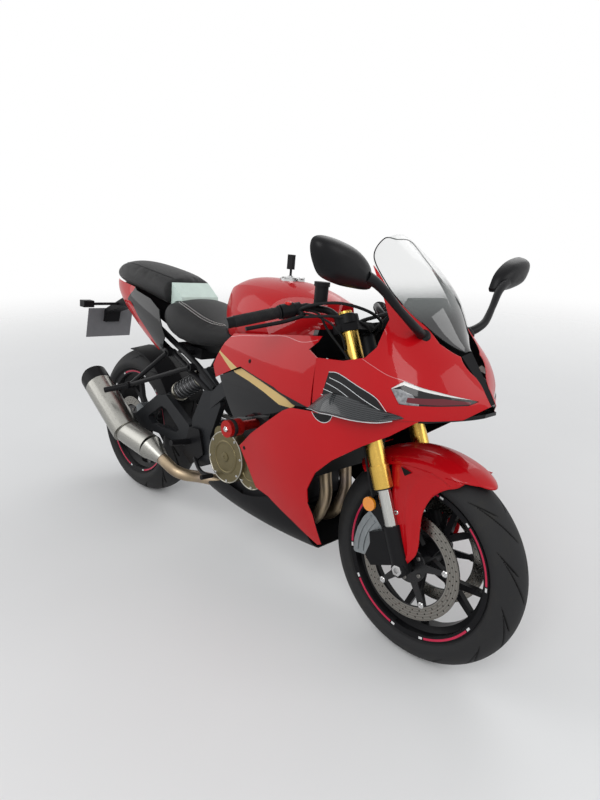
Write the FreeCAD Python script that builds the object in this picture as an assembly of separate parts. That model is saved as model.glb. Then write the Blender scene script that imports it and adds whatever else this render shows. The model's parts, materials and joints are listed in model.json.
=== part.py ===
import FreeCAD, Part
import math
import os

# A middleweight sport bike parked on its side stand, in millimetres.
# It is modelled upright: x forward, y to the rider's left, z up, with the origin on the ground
# below the rear axle. At the end every solid leans over onto the side stand and is moved so that
# the origin lies under the middle of the whole bike.

V = FreeCAD.Vector

# Driving dimensions
wheelbase = 1439.0
lean_deg = 7.0
rake_deg = 24.5
fork_offset = 35.0

front_tyre_radius = 299.0
front_tyre_width = 120.0
front_tyre_crown = 62.0
rear_tyre_radius = 312.0
rear_tyre_width = 160.0
rear_tyre_crown = 83.0
rim_radius = 224.0
rim_lip = 9.0
rim_wall = 6.0
front_rim_width = 100.0
rear_rim_width = 128.0
spoke_pairs = 5
hub_radius = 34.0
axle_radius = 11.0
axle_gap = 0.1

front_disc_radius = 155.0
rear_disc_radius = 110.0
disc_thickness = 5.0
front_disc_y = 70.0

fork_half_span = 106.0
fork_outer_radius = 25.0
fork_inner_radius = 19.0
fork_length = 700.0
inner_tube_start = 97.0
carrier_radius = 24.0
outer_tube_start = 221.0
lower_clamp_at = 480.0
upper_clamp_at = 655.0
stem_radius = 15.0
stem_bore_radius = 9.0
head_tube_radius = 29.0
steer_gap = 0.1
steer_limit = 24.0

panel = 3.5
fit_gap = 0.3
muffler_radius = 56.0
pipe_radius = 22.0
chain_y = 92.0
sprocket_radius = 92.0
front_sprocket_radius = 36.0
pivot_x = 540.0
pivot_z = 401.0
plate_width = 220.0
plate_height = 140.0
stand_pivot_x = 560.0
stand_pivot_z = 265.0
grip_radius = 16.5
caliper_half = 24.0
reflector_y = 108.0

rear_axle = V(0, 0, rear_tyre_radius)
front_axle = V(wheelbase, 0, front_tyre_radius)
rake = math.radians(rake_deg)
steer_up = V(-math.sin(rake), 0, math.cos(rake))
steer_front = V(math.cos(rake), 0, math.sin(rake))
side = V(0, 1, 0)


def on_fork(along, y=0.0, ahead=0.0):
    """Point on the fork axis, measured up from the front axle."""
    return front_axle + steer_up * along + steer_front * ahead + side * y


def on_stem(along, y=0.0, ahead=0.0):
    """Point on the steering axis, measured up from beside the front axle."""
    return on_fork(along, y, ahead - fork_offset)


def rod(start, end, radius):
    """Solid cylinder between two points."""
    run = end - start
    return Part.makeCylinder(radius, run.Length, start, run)


def ring(start, end, outer, inner):
    """Hollow cylinder between two points."""
    return rod(start, end, outer).cut(rod(start, end, inner))


def cone(start, end, start_radius, end_radius):
    """Tapered round solid between two points."""
    run = end - start
    return Part.makeCone(start_radius, end_radius, run.Length, start, run)


def block(corner, size):
    """Box from its lowest corner and its size."""
    return Part.makeBox(size[0], size[1], size[2], V(*corner))


def polygon(points):
    """Closed wire through the points."""
    return Part.makePolygon(list(points) + [points[0]])


def rounded(points, radius):
    """Closed wire through the points, each corner rounded by a tangent arc."""
    count = len(points)
    edges = []
    marks = []
    for i in range(count):
        before, here, after = points[i - 1], points[i], points[(i + 1) % count]
        to_before = (before - here).normalize()
        to_after = (after - here).normalize()
        half = to_before.getAngle(to_after) / 2
        reach = min(radius / math.tan(half), 0.45 * min((before - here).Length, (after - here).Length))
        bisector = (to_before + to_after).normalize()
        fit = reach * math.tan(half)
        middle = here + bisector * (fit / math.sin(half) - fit)
        marks.append((here + to_before * reach, middle, here + to_after * reach))
    for i in range(count):
        enter, middle, leave = marks[i]
        edges.append(Part.Arc(enter, middle, leave).toShape())
        edges.append(Part.LineSegment(leave, marks[(i + 1) % count][0]).toShape())
    return Part.Wire(edges)


def side_plate(outline, y_low, y_high, corner=0.0):
    """Plate drawn in the side view, from y_low to y_high."""
    points = [V(x, y_low, z) for x, z in outline]
    wire = rounded(points, corner) if corner else polygon(points)
    return Part.Face(wire).extrude(V(0, y_high - y_low, 0))


def pipe(points, radius):
    """Round bar along straight runs joined by tangent arcs as large as the runs allow."""
    points = [V(*p) for p in points]
    edges = []
    here = points[0]
    for i in range(1, len(points) - 1):
        before, corner, after = points[i - 1], points[i], points[i + 1]
        to_before = (before - corner).normalize()
        to_after = (after - corner).normalize()
        half = to_before.getAngle(to_after) / 2
        reach = 0.45 * min((before - corner).Length, (after - corner).Length)
        fit = reach * math.tan(half)
        bisector = (to_before + to_after).normalize()
        middle = corner + bisector * (fit / math.sin(half) - fit)
        enter = corner + to_before * reach
        leave = corner + to_after * reach
        edges.append(Part.LineSegment(here, enter).toShape())
        edges.append(Part.Arc(enter, middle, leave).toShape())
        here = leave
    edges.append(Part.LineSegment(here, points[-1]).toShape())
    profile = Part.Wire([Part.makeCircle(radius, points[0], points[1] - points[0])])
    return Part.Wire(edges).makePipeShell([profile], True, False)


def strip(x, arc, wall, inset=0.0):
    """Closed section of a skin at one station: outer arc, inner arc and the two edges."""
    (y1, z1), (y2, z2), (y3, z3) = arc
    outer = [V(x, y - inset, z) for y, z in arc]
    inner = [V(x, y - inset - wall, z) for y, z in arc]
    return Part.Wire([
        Part.Arc(outer[0], outer[1], outer[2]).toShape(),
        Part.LineSegment(outer[2], inner[2]).toShape(),
        Part.Arc(inner[2], inner[1], inner[0]).toShape(),
        Part.LineSegment(inner[0], outer[0]).toShape(),
    ])


def skin(stations, wall=panel, inset=0.0):
    """Skin on the bike's left side through the stations: x, then (y, z) at top, middle and foot."""
    wires = [strip(x, (top, middle, foot), wall, inset) for x, top, middle, foot in stations]
    return Part.makeLoft(wires, True, False)


def body_panel(stations, outline, wall=panel, inset=0.0, corner=0.0):
    """Skin trimmed to an outline in the side view."""
    trim = side_plate(outline, -5.0, 400.0, corner)
    return skin(stations, wall, inset).common(trim)


def other_side(shape):
    """Copy mirrored to the other side of the bike."""
    return shape.mirror(V(0, 0, 0), side)


def pair(shape):
    """The shape and its mirror image."""
    return Part.makeCompound([shape, other_side(shape)])


def fuse(*shapes):
    """One solid from overlapping or touching ones."""
    return shapes[0].multiFuse(list(shapes[1:])).removeSplitter()


def lathe(centre, profile):
    """Solid of revolution about the line through centre across the bike: profile of (y, radius)."""
    points = [centre + V(0, y, r) for y, r in profile]
    return Part.Face(polygon(points)).revolve(centre, side, 360)


def around(centre, radius, degrees, y=0.0):
    """Point beside a wheel, at an angle measured from straight ahead, upwards."""
    angle = math.radians(degrees)
    return centre + V(radius * math.cos(angle), y, radius * math.sin(angle))


def turned(shape, centre, degrees):
    """Copy turned about the line through centre across the bike."""
    copy = shape.copy()
    copy.rotate(centre, side, degrees)
    return copy


# Wheels

def tyre(centre, radius, width, crown):
    """Tyre ring turned from straight strips: crown, shoulders, sidewalls, beads and liner."""
    half = width / 2
    bead_y = half * 0.72
    bead = rim_radius - rim_lip
    contact = crown * math.sin(math.radians(lean_deg))

    def crown_at(y):
        return radius - crown + math.sqrt(crown ** 2 - y ** 2)

    left = [(half * 0.62, crown_at(half * 0.62) - 10), (bead_y - 12, bead), (bead_y, bead), (bead_y, rim_radius + 4),
            (half, crown_at(half * 0.92) - 12), (half * 0.66, crown_at(half * 0.66)), (contact, crown_at(contact))]
    return lathe(centre, left + [(-y, z) for y, z in reversed(left)])


def rim(centre, width, tyre_width, hub_half):
    """Cast wheel: a channel rim with lips, forked spokes and a bored hub."""
    half = width / 2
    seat = rim_radius - rim_lip - fit_gap
    inner_bead = tyre_width / 2 * 0.72 + fit_gap
    well = seat - 16
    channel = lathe(centre, [
        (-half, rim_radius), (-inner_bead, rim_radius), (-inner_bead, seat), (-inner_bead + 16, seat),
        (-inner_bead + 26, well), (inner_bead - 26, well), (inner_bead - 16, seat), (inner_bead, seat),
        (inner_bead, rim_radius), (half, rim_radius), (half - 2, seat - rim_wall), (inner_bead - 18, seat - rim_wall),
        (inner_bead - 28, well - rim_wall), (-inner_bead + 28, well - rim_wall), (-inner_bead + 18, seat - rim_wall),
        (-half + 2, seat - rim_wall),
    ])
    hub = lathe(centre, [
        (-hub_half, axle_radius + axle_gap), (hub_half, axle_radius + axle_gap), (hub_half, hub_radius - 6),
        (hub_half - 14, hub_radius), (-hub_half + 14, hub_radius), (-hub_half, hub_radius - 6),
    ])
    foot = hub_radius - 6
    tip = well - rim_wall + 2
    fork = tip * 0.52
    spoke_half = 9.0
    spread = 38.0
    spoke_wide = 11.0
    outline = [
        (foot, -17), (fork, -12), (tip, -spread - spoke_wide / 2 - 4), (tip, -spread + spoke_wide / 2),
        (fork + 22, 0), (tip, spread - spoke_wide / 2), (tip, spread + spoke_wide / 2 + 4), (fork, 12), (foot, 17),
    ]
    points = [centre + V(x, -spoke_half, z) for x, z in outline]
    spoke = Part.Face(polygon(points)).extrude(V(0, 2 * spoke_half, 0))
    spokes = [turned(spoke, centre, 360.0 * i / spoke_pairs + 18) for i in range(spoke_pairs)]
    return fuse(channel, hub, *spokes)


def disc(centre, y, outer, band, bolts):
    """Brake disc: a ring with mounting lugs on a carrier."""
    low = y - disc_thickness / 2
    high = y + disc_thickness / 2
    friction = ring(centre + V(0, low, 0), centre + V(0, high, 0), outer, outer - band)
    lugs = []
    for i in range(bolts):
        at = around(centre, outer - band - 4, 360.0 * i / bolts + 12)
        lugs.append(rod(at + V(0, low, 0), at + V(0, high, 0), 11))
    return fuse(friction, *lugs)


front_tyre = tyre(front_axle, front_tyre_radius, front_tyre_width, front_tyre_crown)
rear_tyre = tyre(rear_axle, rear_tyre_radius, rear_tyre_width, rear_tyre_crown)

front_hub_half = 62.0
rear_hub_half = 78.0
front_rim = rim(front_axle, front_rim_width, front_tyre_width, front_hub_half)
rear_rim = rim(rear_axle, rear_rim_width, rear_tyre_width, rear_hub_half)


def front_carrier(sign):
    """Five-armed disc carrier bolted to the hub's end."""
    y = sign * front_disc_y
    low = min(y - disc_thickness / 2, y + disc_thickness / 2)
    plate = ring(front_axle + V(0, low, 0), front_axle + V(0, low + disc_thickness, 0), 52, 22)
    inner_y = sign * (front_hub_half + 0.3)
    boss = ring(front_axle + V(0, inner_y, 0), front_axle + V(0, y, 0), 30, 22)
    arms = []
    for i in range(5):
        at = around(front_axle, front_disc_radius - 46, 72.0 * i + 12)
        centre_line = at - front_axle
        arm = Part.Face(polygon([
            front_axle + V(38, low, -13), front_axle + V(centre_line.Length, low, -7),
            front_axle + V(centre_line.Length, low, 7), front_axle + V(38, low, 13),
        ])).extrude(V(0, disc_thickness, 0))
        arms.append(turned(arm, front_axle, -(72.0 * i + 12)))
    return fuse(plate, boss, *arms)


def front_disc(sign):
    """Friction ring with its carrier."""
    return fuse(disc(front_axle, sign * front_disc_y, front_disc_radius, 38, 5), front_carrier(sign))


front_discs = Part.makeCompound([front_disc(1), front_disc(-1)])

rear_disc_y = -(rear_hub_half + 4)
rear_disc = fuse(
    disc(rear_axle, rear_disc_y, rear_disc_radius, 34, 5),
    ring(rear_axle + V(0, rear_disc_y - 2.5, 0), rear_axle + V(0, -rear_hub_half - fit_gap, 0), 70, 24),
)
rear_sprocket = ring(rear_axle + V(0, chain_y - 3.5, 0), rear_axle + V(0, chain_y + 3.5, 0), sprocket_radius - 6, 24)
rear_sprocket = fuse(rear_sprocket, ring(rear_axle + V(0, rear_hub_half + fit_gap, 0), rear_axle + V(0, chain_y, 0), 55, 24))

# Front end

axle_half = fork_half_span + 14
spindle_bore = 7.0
front_spindle = ring(front_axle - side * axle_half, front_axle + side * axle_half, axle_radius, spindle_bore)


def axle_carrier():
    """Cast fork foot: holds the axle, the radial caliper behind it and the reflector's tab."""
    y = fork_half_span
    tube = rod(on_fork(-4, y), on_fork(inner_tube_start + 20, y), carrier_radius)
    eye = rod(front_axle + V(0, y - 17, 0), front_axle + V(0, y + 17, 0), 22)
    lug_points = [
        on_fork(10, 0, -14), on_fork(105, 0, -16), on_fork(104, 0, -78), on_fork(72, 0, -84),
        on_fork(40, 0, -112), on_fork(10, 0, -100),
    ]
    lug = side_plate([(p.x, p.z) for p in lug_points], front_disc_y + caliper_half + fit_gap, y + 8)
    tab = side_plate([(1392, 385), (1376, 420), (1330, 456), (1298, 450), (1300, 428), (1350, 400), (1368, 375)],
                     reflector_y - 4, reflector_y, 5)
    body = fuse(tube, eye, lug, tab)
    bore = rod(front_axle - side * 200, front_axle + side * 200, axle_radius)
    seat = rod(on_fork(inner_tube_start, y), on_fork(200, y), fork_inner_radius)
    return body.cut(bore).cut(seat)


axle_carriers = fuse(front_spindle, axle_carrier(), other_side(axle_carrier()))
fork_inner_tubes = pair(rod(on_fork(inner_tube_start, fork_half_span), on_fork(outer_tube_start + 60, fork_half_span),
                            fork_inner_radius))


def fork_outer(sign):
    """Outer tube with a stepped collar at its foot and a cap at its top."""
    y = sign * fork_half_span
    tube = rod(on_fork(outer_tube_start, y), on_fork(fork_length, y), fork_outer_radius)
    collar = rod(on_fork(outer_tube_start, y), on_fork(outer_tube_start + 62, y), fork_outer_radius + 3)
    cap = rod(on_fork(fork_length, y), on_fork(fork_length + 12, y), fork_outer_radius - 6)
    bore = rod(on_fork(outer_tube_start - 1, y), on_fork(outer_tube_start + 60, y), fork_inner_radius)
    return fuse(tube, collar, cap).cut(bore)


fork_outer_tubes = Part.makeCompound([fork_outer(1), fork_outer(-1)])


def clamp(along, height, reach):
    """Triple clamp: one bridge across both fork tubes and the stem."""
    outline = [
        on_fork(along, -fork_half_span - 36, 8), on_fork(along, -fork_half_span - 30, -30),
        on_fork(along, -50, -reach), on_fork(along, 50, -reach), on_fork(along, fork_half_span + 30, -30),
        on_fork(along, fork_half_span + 36, 8), on_fork(along, fork_half_span, 34), on_fork(along, 0, 6),
        on_fork(along, -fork_half_span, 34),
    ]
    bridge = Part.Face(polygon(outline)).extrude(steer_up * height)
    for sign in (1, -1):
        y = sign * fork_half_span
        bridge = bridge.cut(rod(on_fork(along - 5, y), on_fork(along + height + 5, y), fork_outer_radius))
    return bridge.cut(rod(on_stem(along - 5), on_stem(along + height + 5), stem_radius))


stem_low = on_stem(lower_clamp_at - 12)
stem_high = on_stem(upper_clamp_at + 34)
steering_stem = ring(stem_low, stem_high, stem_radius, stem_bore_radius)
triple_clamps = Part.makeCompound([clamp(lower_clamp_at, 30, 60), clamp(upper_clamp_at, 22, 58)])

bar_outer = V(972, 355, 900)
bar_inner = V(1019, 235, 930)
bar_run = (bar_outer - bar_inner).normalize()
bar_root = bar_inner - bar_run * 85


def handlebar():
    """Clip-on: a ring on the fork top, an arm and the bar that carries the grip."""
    ring_low = on_fork(upper_clamp_at + 22 + fit_gap, fork_half_span)
    ring_high = on_fork(upper_clamp_at + 44, fork_half_span)
    clip = ring(ring_low, ring_high, fork_outer_radius + 9, fork_outer_radius)
    middle = (ring_low + ring_high) * 0.5
    arm_start = middle + V(-fork_outer_radius - 4, 0, 0)
    arm = pipe([arm_start, arm_start + V(-30, 6, 18), bar_root], 10)
    bar = rod(bar_root, bar_outer, 11)
    weight = rod(bar_outer, bar_outer + bar_run * 20, 15)
    switch = rod(bar_inner - bar_run * 42, bar_inner - bar_run * 4, 21)
    fork_tube = rod(on_fork(upper_clamp_at, fork_half_span), on_fork(fork_length + 20, fork_half_span), fork_outer_radius)
    return fuse(clip, arm, bar, weight, switch).cut(fork_tube)


handlebars = pair(handlebar())
grips = pair(ring(bar_inner, bar_outer - bar_run * fit_gap, grip_radius, 11))


def lever():
    """Lever with its perch on the bar."""
    perch = rod(bar_inner - bar_run * 62, bar_inner - bar_run * 44, 18)
    start = bar_inner - bar_run * 53
    root = start + V(36, 10, -14)
    arm = rod(start, root, 8)
    blade = pipe([root, root + bar_run * 60 + V(12, 0, -2), bar_outer + V(56, 4, -10)], 5.5)
    return fuse(perch, arm, blade)


levers = pair(lever().cut(rod(bar_root - bar_run * 20, bar_outer, 11)))

reservoir_foot = V(1088, -148, 962)
right_bar = other_side(rod(bar_root, bar_outer, 11 + fit_gap))
reservoir_stay = pipe([reservoir_foot + V(0, 0, 4), reservoir_foot + V(-16, -6, -10), V(1040, -176, 946)], 4)
brake_reservoir = fuse(
    rod(reservoir_foot, reservoir_foot + V(0, 0, 48), 19),
    rod(reservoir_foot + V(0, 0, 48), reservoir_foot + V(0, 0, 60), 22),
    reservoir_stay,
).cut(right_bar).cut(other_side(handlebar()))


def caliper():
    """Radial four-piston caliper: two halves and a bridge over the disc's rim."""
    inner_r = front_disc_radius - 44
    outer_r = front_disc_radius + 22
    low_deg = 138
    high_deg = 190
    step = (high_deg - low_deg) / 4
    outline = [around(front_axle, outer_r, low_deg + step * i) for i in range(5)]
    outline += [around(front_axle, inner_r, high_deg - step * i) for i in range(5)]
    body = side_plate([(p.x, p.z) for p in outline], front_disc_y - caliper_half, front_disc_y + caliper_half, 8)
    slot = ring(front_axle + V(0, front_disc_y - 5.5, 0), front_axle + V(0, front_disc_y + 5.5, 0),
                front_disc_radius + 4, 20)
    return body.cut(slot)


front_calipers = pair(caliper())

fender_radius = 321.0
fender_half = 74.0
fender_skin = 3.0


def fender():
    """Arched mudguard with a long wing down each side in front of the fork."""
    outer = [(0, fender_radius), (38, fender_radius - 5), (62, fender_radius - 20), (fender_half, fender_radius - 44)]
    inner = [(y * 0.96, r - fender_skin) for y, r in outer]
    profile = [(-y, r) for y, r in reversed(outer)] + outer[1:]
    profile += [(y, r) for y, r in reversed(inner)] + [(-y, r) for y, r in inner[1:]]
    start = math.radians(54)
    aim = V(math.cos(start), 0, math.sin(start))
    points = [front_axle + aim * r + side * y for y, r in profile]
    crown = Part.Face(polygon(points)).revolve(front_axle, side, -82)
    # rows: inner half width, height, rear x, front x
    wing_rows = [(70, 570, 1334, 1508), (84, 520, 1358, 1488), (97, 450, 1388, 1476), (104, 345, 1430, 1462)]
    wires = []
    for y, z, rear, front in wing_rows:
        wires.append(polygon([V(rear, y, z), V(front, y, z), V(front, y + fender_skin, z), V(rear, y + fender_skin, z)]))
    wing = Part.makeLoft(wires, True, True)
    blank = fuse(crown, wing, other_side(wing))
    for sign in (1, -1):
        y = sign * fork_half_span
        for low, high, radius in ((-30, inner_tube_start + 21, carrier_radius),
                                  (inner_tube_start, outer_tube_start, fork_inner_radius),
                                  (outer_tube_start, fork_length, fork_outer_radius + 3)):
            blank = blank.cut(rod(on_fork(low, y), on_fork(high, y), radius + fit_gap))
    return blank


front_fender = fender()
reflectors = pair(rod(V(1312, reflector_y + fit_gap, 440), V(1312, reflector_y + 8, 440), 20))

# Frame, engine and rear end

head_low = on_stem(lower_clamp_at + 30 + fit_gap)
head_high = on_stem(upper_clamp_at - fit_gap)


plate_y = 110.0
plate_wall = 24.0
stand_axis = V(0, math.cos(math.radians(15.5)), math.sin(math.radians(15.5)))
stand_pivot = V(stand_pivot_x, 156, stand_pivot_z)
stand_pin_radius = 8.0


shock_y = -76.0
shock_low = V(312, shock_y, 512)
shock_high = V(528, shock_y, 643)
shock_run = (shock_high - shock_low).normalize()


def spar():
    """One side of the frame: a spar from the head tube down to the pivot plate."""
    # rows: x, y, z, half width, half height
    rows = [
        (1140, 22, 784, 14, 30),
        (1060, 105, 753, 13, 34),
        (880, 138, 700, 13, 38),
        (700, 132, 640, 12, 34),
        (600, 122, 560, 12, 30),
    ]
    wires = []
    for x, y, z, wide, tall in rows:
        wires.append(polygon([V(x, y - wide, z - tall), V(x, y + wide, z - tall), V(x, y + wide, z + tall),
                              V(x, y - wide, z + tall)]))
    beam = Part.makeLoft(wires, True, True)
    plate = side_plate([(630, 600), (560, 590), (500, 470), (505, 360), (560, 300), (620, 330), (610, 430), (660, 560)],
                       plate_y, plate_y + plate_wall, 14)
    return fuse(beam, plate)


head_tube = rod(head_low, head_high, head_tube_radius)
cross_tubes = [
    rod(V(pivot_x, -plate_y - 2, pivot_z), V(pivot_x, plate_y + 2, pivot_z), 16),
    rod(V(590, -plate_y - 5, 575), V(590, plate_y + 5, 575), 16),
]
stand_bracket = side_plate([(535, 330), (600, 335), (582, 246), (545, 244)], plate_y + 8, plate_y + plate_wall, 6)
stand_pin = rod(stand_pivot - stand_axis * 34, stand_pivot + stand_axis * 14, stand_pin_radius)
stand_washer = rod(stand_pivot + stand_axis * 12.5, stand_pivot + stand_axis * 15.5, stand_pin_radius + 4)
shock_lug = side_plate([(640, 600), (545, 664), (508, 655), (512, 624), (600, 560)], -plate_y - 10, -plate_y + 6, 8)
shock_top_pin = rod(V(shock_high.x, -plate_y, shock_high.z), V(shock_high.x, shock_y + 16, shock_high.z), 6)
frame = fuse(spar(), other_side(spar()), head_tube, *cross_tubes, stand_bracket, stand_pin, stand_washer, shock_lug,
             shock_top_pin)
frame = frame.cut(rod(on_stem(lower_clamp_at - 40), on_stem(upper_clamp_at + 60), stem_radius + steer_gap))

front_sprocket = V(640, chain_y, 395)
crankcase_half = 128.0
cylinder_half = 100.0
crankcase_outline = [(668, 500), (668, 300), (690, 268), (960, 266), (1000, 310), (1000, 440), (940, 505), (720, 520)]
rear_case_outline = [(690, 506), (640, 500), (613, 440), (613, 340), (640, 286), (690, 272)]
bobbin_x = 842.0
bobbin_z = 545.0
bobbin_lug = [(806, 500), (818, 562), (862, 570), (890, 560), (900, 500)]
block_outline = [(850, 490), (1000, 440), (1060, 640), (1040, 690), (940, 706), (900, 690)]


def chain_outline(y, grow, depth):
    """Solid inside the chain's loop outline, grown outwards, starting at y; straight links round both sprockets."""
    back = V(0, y, rear_tyre_radius)
    front = V(front_sprocket.x, y, front_sprocket.z)
    run = front - back
    big = sprocket_radius + grow
    small = front_sprocket_radius + grow
    spread = math.asin((big - small) / run.Length)
    up = math.atan2(run.z, run.x) + math.pi / 2 - spread
    half_turn = math.pi - 2 * spread
    points = []
    for centre, radius, start, sweep, count in ((front, small, up, -half_turn, 6),
                                                (back, big, up - half_turn, half_turn - 2 * math.pi, 14)):
        for i in range(count + 1):
            angle = start + sweep * i / count
            points.append(centre + V(radius * math.cos(angle), 0, radius * math.sin(angle)))
    return Part.Face(polygon(points)).extrude(V(0, depth, 0))


chain_width = 14.0
chain_inside = -4.0
chain_outside = 7.0
drive_chain = chain_outline(chain_y - chain_width / 2, chain_outside, chain_width)
drive_chain = drive_chain.cut(chain_outline(chain_y - chain_width / 2, chain_inside, chain_width))
engine_case = fuse(
    side_plate(crankcase_outline, -crankcase_half, crankcase_half, 16),
    side_plate(rear_case_outline, -plate_y + fit_gap, plate_y - fit_gap, 12),
    side_plate([(720, 275), (740, 262), (930, 262), (950, 275)], -70, 70),
    side_plate(block_outline, -cylinder_half, cylinder_half, 10),
    side_plate(bobbin_lug, -crankcase_half, -90, 8),
    side_plate(bobbin_lug, 90, crankcase_half, 8),
)
engine_case = engine_case.cut(chain_outline(chain_y - chain_width / 2 - 6, chain_outside + 6, chain_width + 10))
engine_case = engine_case.fuse(rod(V(front_sprocket.x, chain_y - chain_width / 2 - 8, front_sprocket.z),
                                   V(front_sprocket.x, chain_y + 3.5, front_sprocket.z),
                                   front_sprocket_radius + chain_inside - 1.4))

# rows: cover name, centre x, centre z, radius, depth
cover_table = [("clutch", 745, 405, 88, 42), ("clutch_inner", 860, 400, 70, 30), ("rim_boss", 700, 470, 30, 34)]
right_covers = [rod(V(x, -128, z), V(x, -128 - depth, z), radius) for _, x, z, radius, depth in cover_table]
left_covers = [rod(V(890, 128, 398), V(890, 160, 398), 68), rod(V(700, 128, 385), V(700, 150, 385), 60)]
engine_covers = Part.makeCompound([fuse(*right_covers), left_covers[0], left_covers[1]])

radiator = fuse(
    block((1112, -148, 470), (30, 296, 228)),
    block((1108, -166, 476), (36, 18, 216)),
    block((1108, 148, 476), (36, 18, 216)),
    block((1030, -12, 596), (84, 24, 14)).cut(engine_case),
    block((990, -12, 490), (124, 24, 14)).cut(engine_case),
)

header_radius = 20.0
header_route = [(1037, 48, 560), (1078, 48, 548), (1085, 48, 440), (1100, 46, 366), (1062, 44, 262), (950, 40, 233),
                (850, 34, 233)]
header_run = pipe(header_route, header_radius)
header_run = header_run.cut(side_plate(block_outline, -cylinder_half, cylinder_half))
collector = block((700, -60, 208), (165, 120, 50))
muffler_inlet = V(400, -190, 292)
muffler_neck = V(330, -198, 318)
link_start = muffler_inlet + (muffler_inlet - muffler_neck) * 1.3
link = pipe([(710, -30, 233), (610, -46, 234), (530, -90, 240), link_start, muffler_inlet], pipe_radius)
exhaust_headers = fuse(header_run, other_side(header_run), collector, link)

muffler_front = V(165, -204, 335)
muffler_rear = V(-70, -204, 470)
muffler_run = (muffler_rear - muffler_front).normalize()
elbow = pipe([muffler_neck, (250, -200, 326), muffler_front, muffler_front + muffler_run * 60], muffler_radius - 8)
elbow_cone = cone(muffler_inlet, muffler_neck, pipe_radius + 2, muffler_radius - 8)
can = rod(muffler_front, muffler_rear, muffler_radius)
muffler = fuse(can, elbow_cone, elbow)
cap_face = muffler_rear + muffler_run * 60
muffler_cap = ring(muffler_rear, cap_face, muffler_radius, 30)
muffler_cap = muffler_cap.cut(side_plate([(-200, 300), (-200, 700), (-60, 700), (-128, 440), (-100, 300)], -300, -100))

arm_y = 112.0
arm_wall = 26.0
arm_inner_y = 56.0
swing_outline = [(488, 440), (330, 518), (268, 502), (120, 392), (20, 348), (-44, 330), (-44, 290), (20, 284),
                 (150, 340), (300, 352), (488, 352)]
swing_window = [(205, 398), (300, 466), (335, 462), (430, 404), (405, 390), (240, 378)]
arm_blade = side_plate(swing_outline, arm_y, arm_y + arm_wall, 10)
arm_blade = arm_blade.cut(side_plate(swing_window, arm_y - 12, arm_y + 38, 8))
arm_front = side_plate([(400, 352), (400, 392), (520, 419), (572, 414), (572, 384), (520, 372)], arm_inner_y,
                       arm_inner_y + 24, 8)
arm_boss = rod(V(pivot_x, arm_inner_y, pivot_z), V(pivot_x, plate_y - fit_gap, pivot_z), 20)
arm_bridge = block((398, -arm_y - 4, 352), (52, 2 * arm_y + 8, 40))
spindle_end = arm_y + arm_wall + 8
rear_spindle = rod(rear_axle - side * spindle_end, rear_axle + side * spindle_end, axle_radius)
spool_at = V(44, arm_y + arm_wall, 316)
spool_length = 16.0
spool_radius = 4.0
stand_spools = pair(ring(spool_at, spool_at + side * spool_length, 12, spool_radius))
arm_side = fuse(arm_blade, arm_front, arm_boss)
spacer_left = ring(rear_axle + V(0, chain_y + 4.5, 0), rear_axle + V(0, arm_y, 0), 18, axle_radius)
spacer_right = ring(rear_axle - V(0, arm_y, 0), rear_axle + V(0, rear_disc_y - 3.5, 0), 18, axle_radius)
shock_pin = rod(V(shock_low.x, -arm_y - 4, shock_low.z), V(shock_low.x, shock_y + 16, shock_low.z), 6)
swingarm = fuse(arm_side, other_side(arm_side), arm_bridge, rear_spindle, spacer_left, spacer_right, shock_pin)
swingarm = swingarm.cut(rod(V(pivot_x, -200, pivot_z), V(pivot_x, 200, pivot_z), 16 + fit_gap))


def shock():
    """Spring and damper: perches and coils turned as one profile, an eye at each end."""
    length = (shock_high - shock_low).Length
    spring_start = 26.0
    spring_end = length - 70
    coils = 7
    pitch = (spring_end - spring_start) / coils
    profile = [(6, 0), (6, 9), (14, 9), (14, 34), (spring_start, 34)]
    for i in range(coils):
        start = spring_start + pitch * i
        profile += [(start, 22), (start + pitch * 0.3, 32), (start + pitch * 0.7, 32)]
    profile += [(spring_end, 22), (spring_end, 34), (spring_end + 12, 34), (spring_end + 12, 24), (length - 8, 24),
                (length - 8, 0)]
    across = V(0, 1, 0)
    points = [shock_low + shock_run * along + across * radius for along, radius in profile]
    body = Part.Face(polygon(points)).revolve(shock_low, shock_run, 360)
    eyes = [rod(eye - side * 14, eye + side * 14, 16) for eye in (shock_low, shock_high)]
    pins = [rod(eye - side * 40, eye + side * 40, 6 + fit_gap) for eye in (shock_low, shock_high)]
    return fuse(body, *eyes).cut(pins[0]).cut(pins[1])


rear_shock = shock()

rear_caliper = fuse(
    side_plate([(96, 330), (60, 402), (96, 424), (150, 400), (160, 350)], rear_disc_y - caliper_half,
               rear_disc_y + caliper_half, 8),
    block((118, -arm_y + fit_gap, 350), (30, 8, 26)),
).cut(ring(rear_axle + V(0, rear_disc_y - 5, 0), rear_axle + V(0, rear_disc_y + 5, 0), rear_disc_radius + 4, 20))

# Seat, tank and tail

tank_table = [
    # x, foot half width, foot z, middle half width, middle z, shoulder half width, shoulder z, top z
    (602, 70, 800, 84, 880, 70, 935, 948),
    (645, 98, 800, 116, 880, 90, 962, 986),
    (740, 128, 800, 150, 890, 104, 975, 1002),
    (880, 140, 800, 160, 885, 104, 972, 1000),
    (1000, 138, 800, 150, 875, 92, 948, 974),
    (1064, 114, 800, 122, 862, 76, 934, 960),
]


def tank_section(x, foot, foot_z, middle, middle_z, shoulder, shoulder_z, top_z):
    """Closed section of the tank: foot line, two side arcs and a crowned top."""
    left = [V(x, foot, foot_z), V(x, middle, middle_z), V(x, shoulder, shoulder_z)]
    right = [V(x, -p.y, p.z) for p in left]
    return Part.Wire([
        Part.LineSegment(right[0], left[0]).toShape(),
        Part.Arc(left[0], left[1], left[2]).toShape(),
        Part.Arc(left[2], V(x, 0, top_z), right[2]).toShape(),
        Part.Arc(right[2], right[1], right[0]).toShape(),
    ])


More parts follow.
